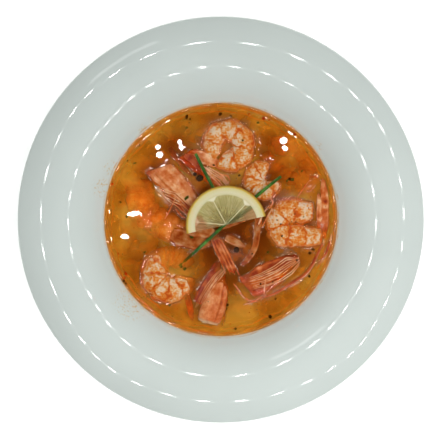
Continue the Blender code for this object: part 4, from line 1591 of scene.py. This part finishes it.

# %% Amber broth: colour
# Hot and sour broth: clear stock made cloudy by roasted chilli, with a skin of red oil in places. The
# cloudy part is the base colour, and the clear part takes up blue and green light with depth. The surface
# is perfectly smooth, so the lamps show in it as crisp spots and dots.
#
# Brown places painted into the broth's colour: x, y, inner and outer radius in mm, and how brown. The
# first and largest lies among the food in the middle and is painted shade from the lemon and heads around
# it; the others are simply darker there.
SHADE_AND_BROWN_PLACES = (
    (12.0, -16.0, 14.0, 60.0, 0.96),
    (-26.0, 52.0, 6.0, 34.0, 0.62),
    (4.0, 66.0, 4.0, 28.0, 0.55),
    (-44.0, -20.0, 6.0, 34.0, 0.34),
    (-4.0, -52.0, 6.0, 30.0, 0.40),
)
broth, node, shader = finish("amber broth")
place = node("TexCoord").outputs["Object"]
close = node("Attribute", attribute_name="close").outputs["Fac"]
from_wall = node("Attribute", attribute_name="from_wall").outputs["Fac"]
cloud = node("TexNoise", {"Vector": place, "Scale": 1 / (24 * MM), "Detail": 3.0, "Roughness": 0.5})
tone = node("ValToRGB", (cloud,), stops=((0.36, "#9c4a0a"), (0.5, "#d08022"), (0.62, "#ecb042")))
darker = 0.0
for x, y, inner, outer, most in SHADE_AND_BROWN_PLACES:
    gone = node("VectorMath", (place, (x * MM, y * MM, BROTH_LEVEL * MM)), operation="DISTANCE")
    here = node("MapRange", (gone, inner * MM, outer * MM, most, 0.0), interpolation_type="SMOOTHSTEP")
    darker = node("Math", (darker, here), operation="MAXIMUM")
# This deep brown is painted shade in the middle, where the food keeps light off the broth, and a darker
# tone at the other places.
dark = node("Mix", (darker, tone, "#743406"), data_type="RGBA")
oil = node("TexNoise", {"Vector": place, "Scale": 1 / (11 * MM), "Detail": 3.0, "Roughness": 0.5})
oily = node("MapRange", (oil, 0.46, 0.7, 0.0, 0.44))
filmed = node("Mix", (oily, dark, "#d8721a"), data_type="RGBA")

# Darker where it climbs the food, paler where it is shallow, at the wall and over what lies just below.
ring = node("MapRange", (close, 0.2, 0.9, 0.0, 0.7))
ringed = node("Mix", (ring, filmed, "#b25a12"), data_type="RGBA")
shallow_noise = node("MapRange", (oil, 0.3, 0.7, -2.5, 2.5))
shallow = node("Math", (from_wall, shallow_noise), operation="ADD")
paler = node("MapRange", (shallow, 2.0, 14.0, 0.6, 0.0))
thin = node("Mix", (paler, ringed, "#d88e22"), data_type="RGBA")
veil = node("Attribute", attribute_name="veil").outputs["Fac"]
bare = node("MapRange", (veil, 0.0, 0.8, 0.6, 0.0))
thin = node("Mix", (bare, thin, "#d89c44"), data_type="RGBA")

# %% Amber broth: oil at the shore, and how clear it is
# Oil gathers along the wall, with a second fine line inside it that wanders. Oil covers what lies below,
# and so does depth, so both cut the share of light that is let through.
clear = node("MapRange", (veil, 0.1, 0.95, 0.97, 0.6))
shore = node("MapRange", (from_wall, 1.0, 3.2, 0.9, 0.0))
stretch = node("TexNoise", {"Vector": place, "Scale": 1 / (18 * MM), "Detail": 3.0})
bank = node("MapRange", (stretch, 0.38, 0.62, 0.45, 1.0))
rim_gap = node("MapRange", (from_wall, 0.3, 1.3, 0.1, 1.0))
off_rim = node("Math", (shore, rim_gap), operation="MULTIPLY")
banked = node("Math", (off_rim, bank), operation="MULTIPLY")
inner = node("MapRange", (stretch, 0.3, 0.7, 3.0, 7.0))
off = node("Math", (from_wall, inner), operation="SUBTRACT")
near_line = node("Math", (off,), operation="ABSOLUTE")
line = node("MapRange", (near_line, 0.15, 0.7, 0.75, 0.0))
lined = node("Math", (line, bank), operation="MULTIPLY")
oil_line = node("Math", (banked, lined), operation="MAXIMUM")
shored = node("Mix", (oil_line, thin, "#c05206"), data_type="RGBA")
cover = node("Math", (oil_line, oily), operation="MAXIMUM")
let_by = node("MapRange", (cover, 0.0, 1.0, 1.0, 0.12))
through = node("Math", (clear, let_by), operation="MULTIPLY")
feed(
    shader,
    {
        "Base Color": shored, "Transmission Weight": through, "Roughness": 0.0, "IOR": 1.34,
        "Coat Weight": 1.0, "Coat IOR": 1.4, "Coat Roughness": 0.01,
    },
)
depth = node("VolumeAbsorption", {"Color": "#f0d10d", "Density": 140.0})
feed(broth.node_tree.nodes["Material Output"], {"Volume": depth})

shown(broth_piece, broth)
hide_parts("broth")
broth_only.objects.link(broth_piece)
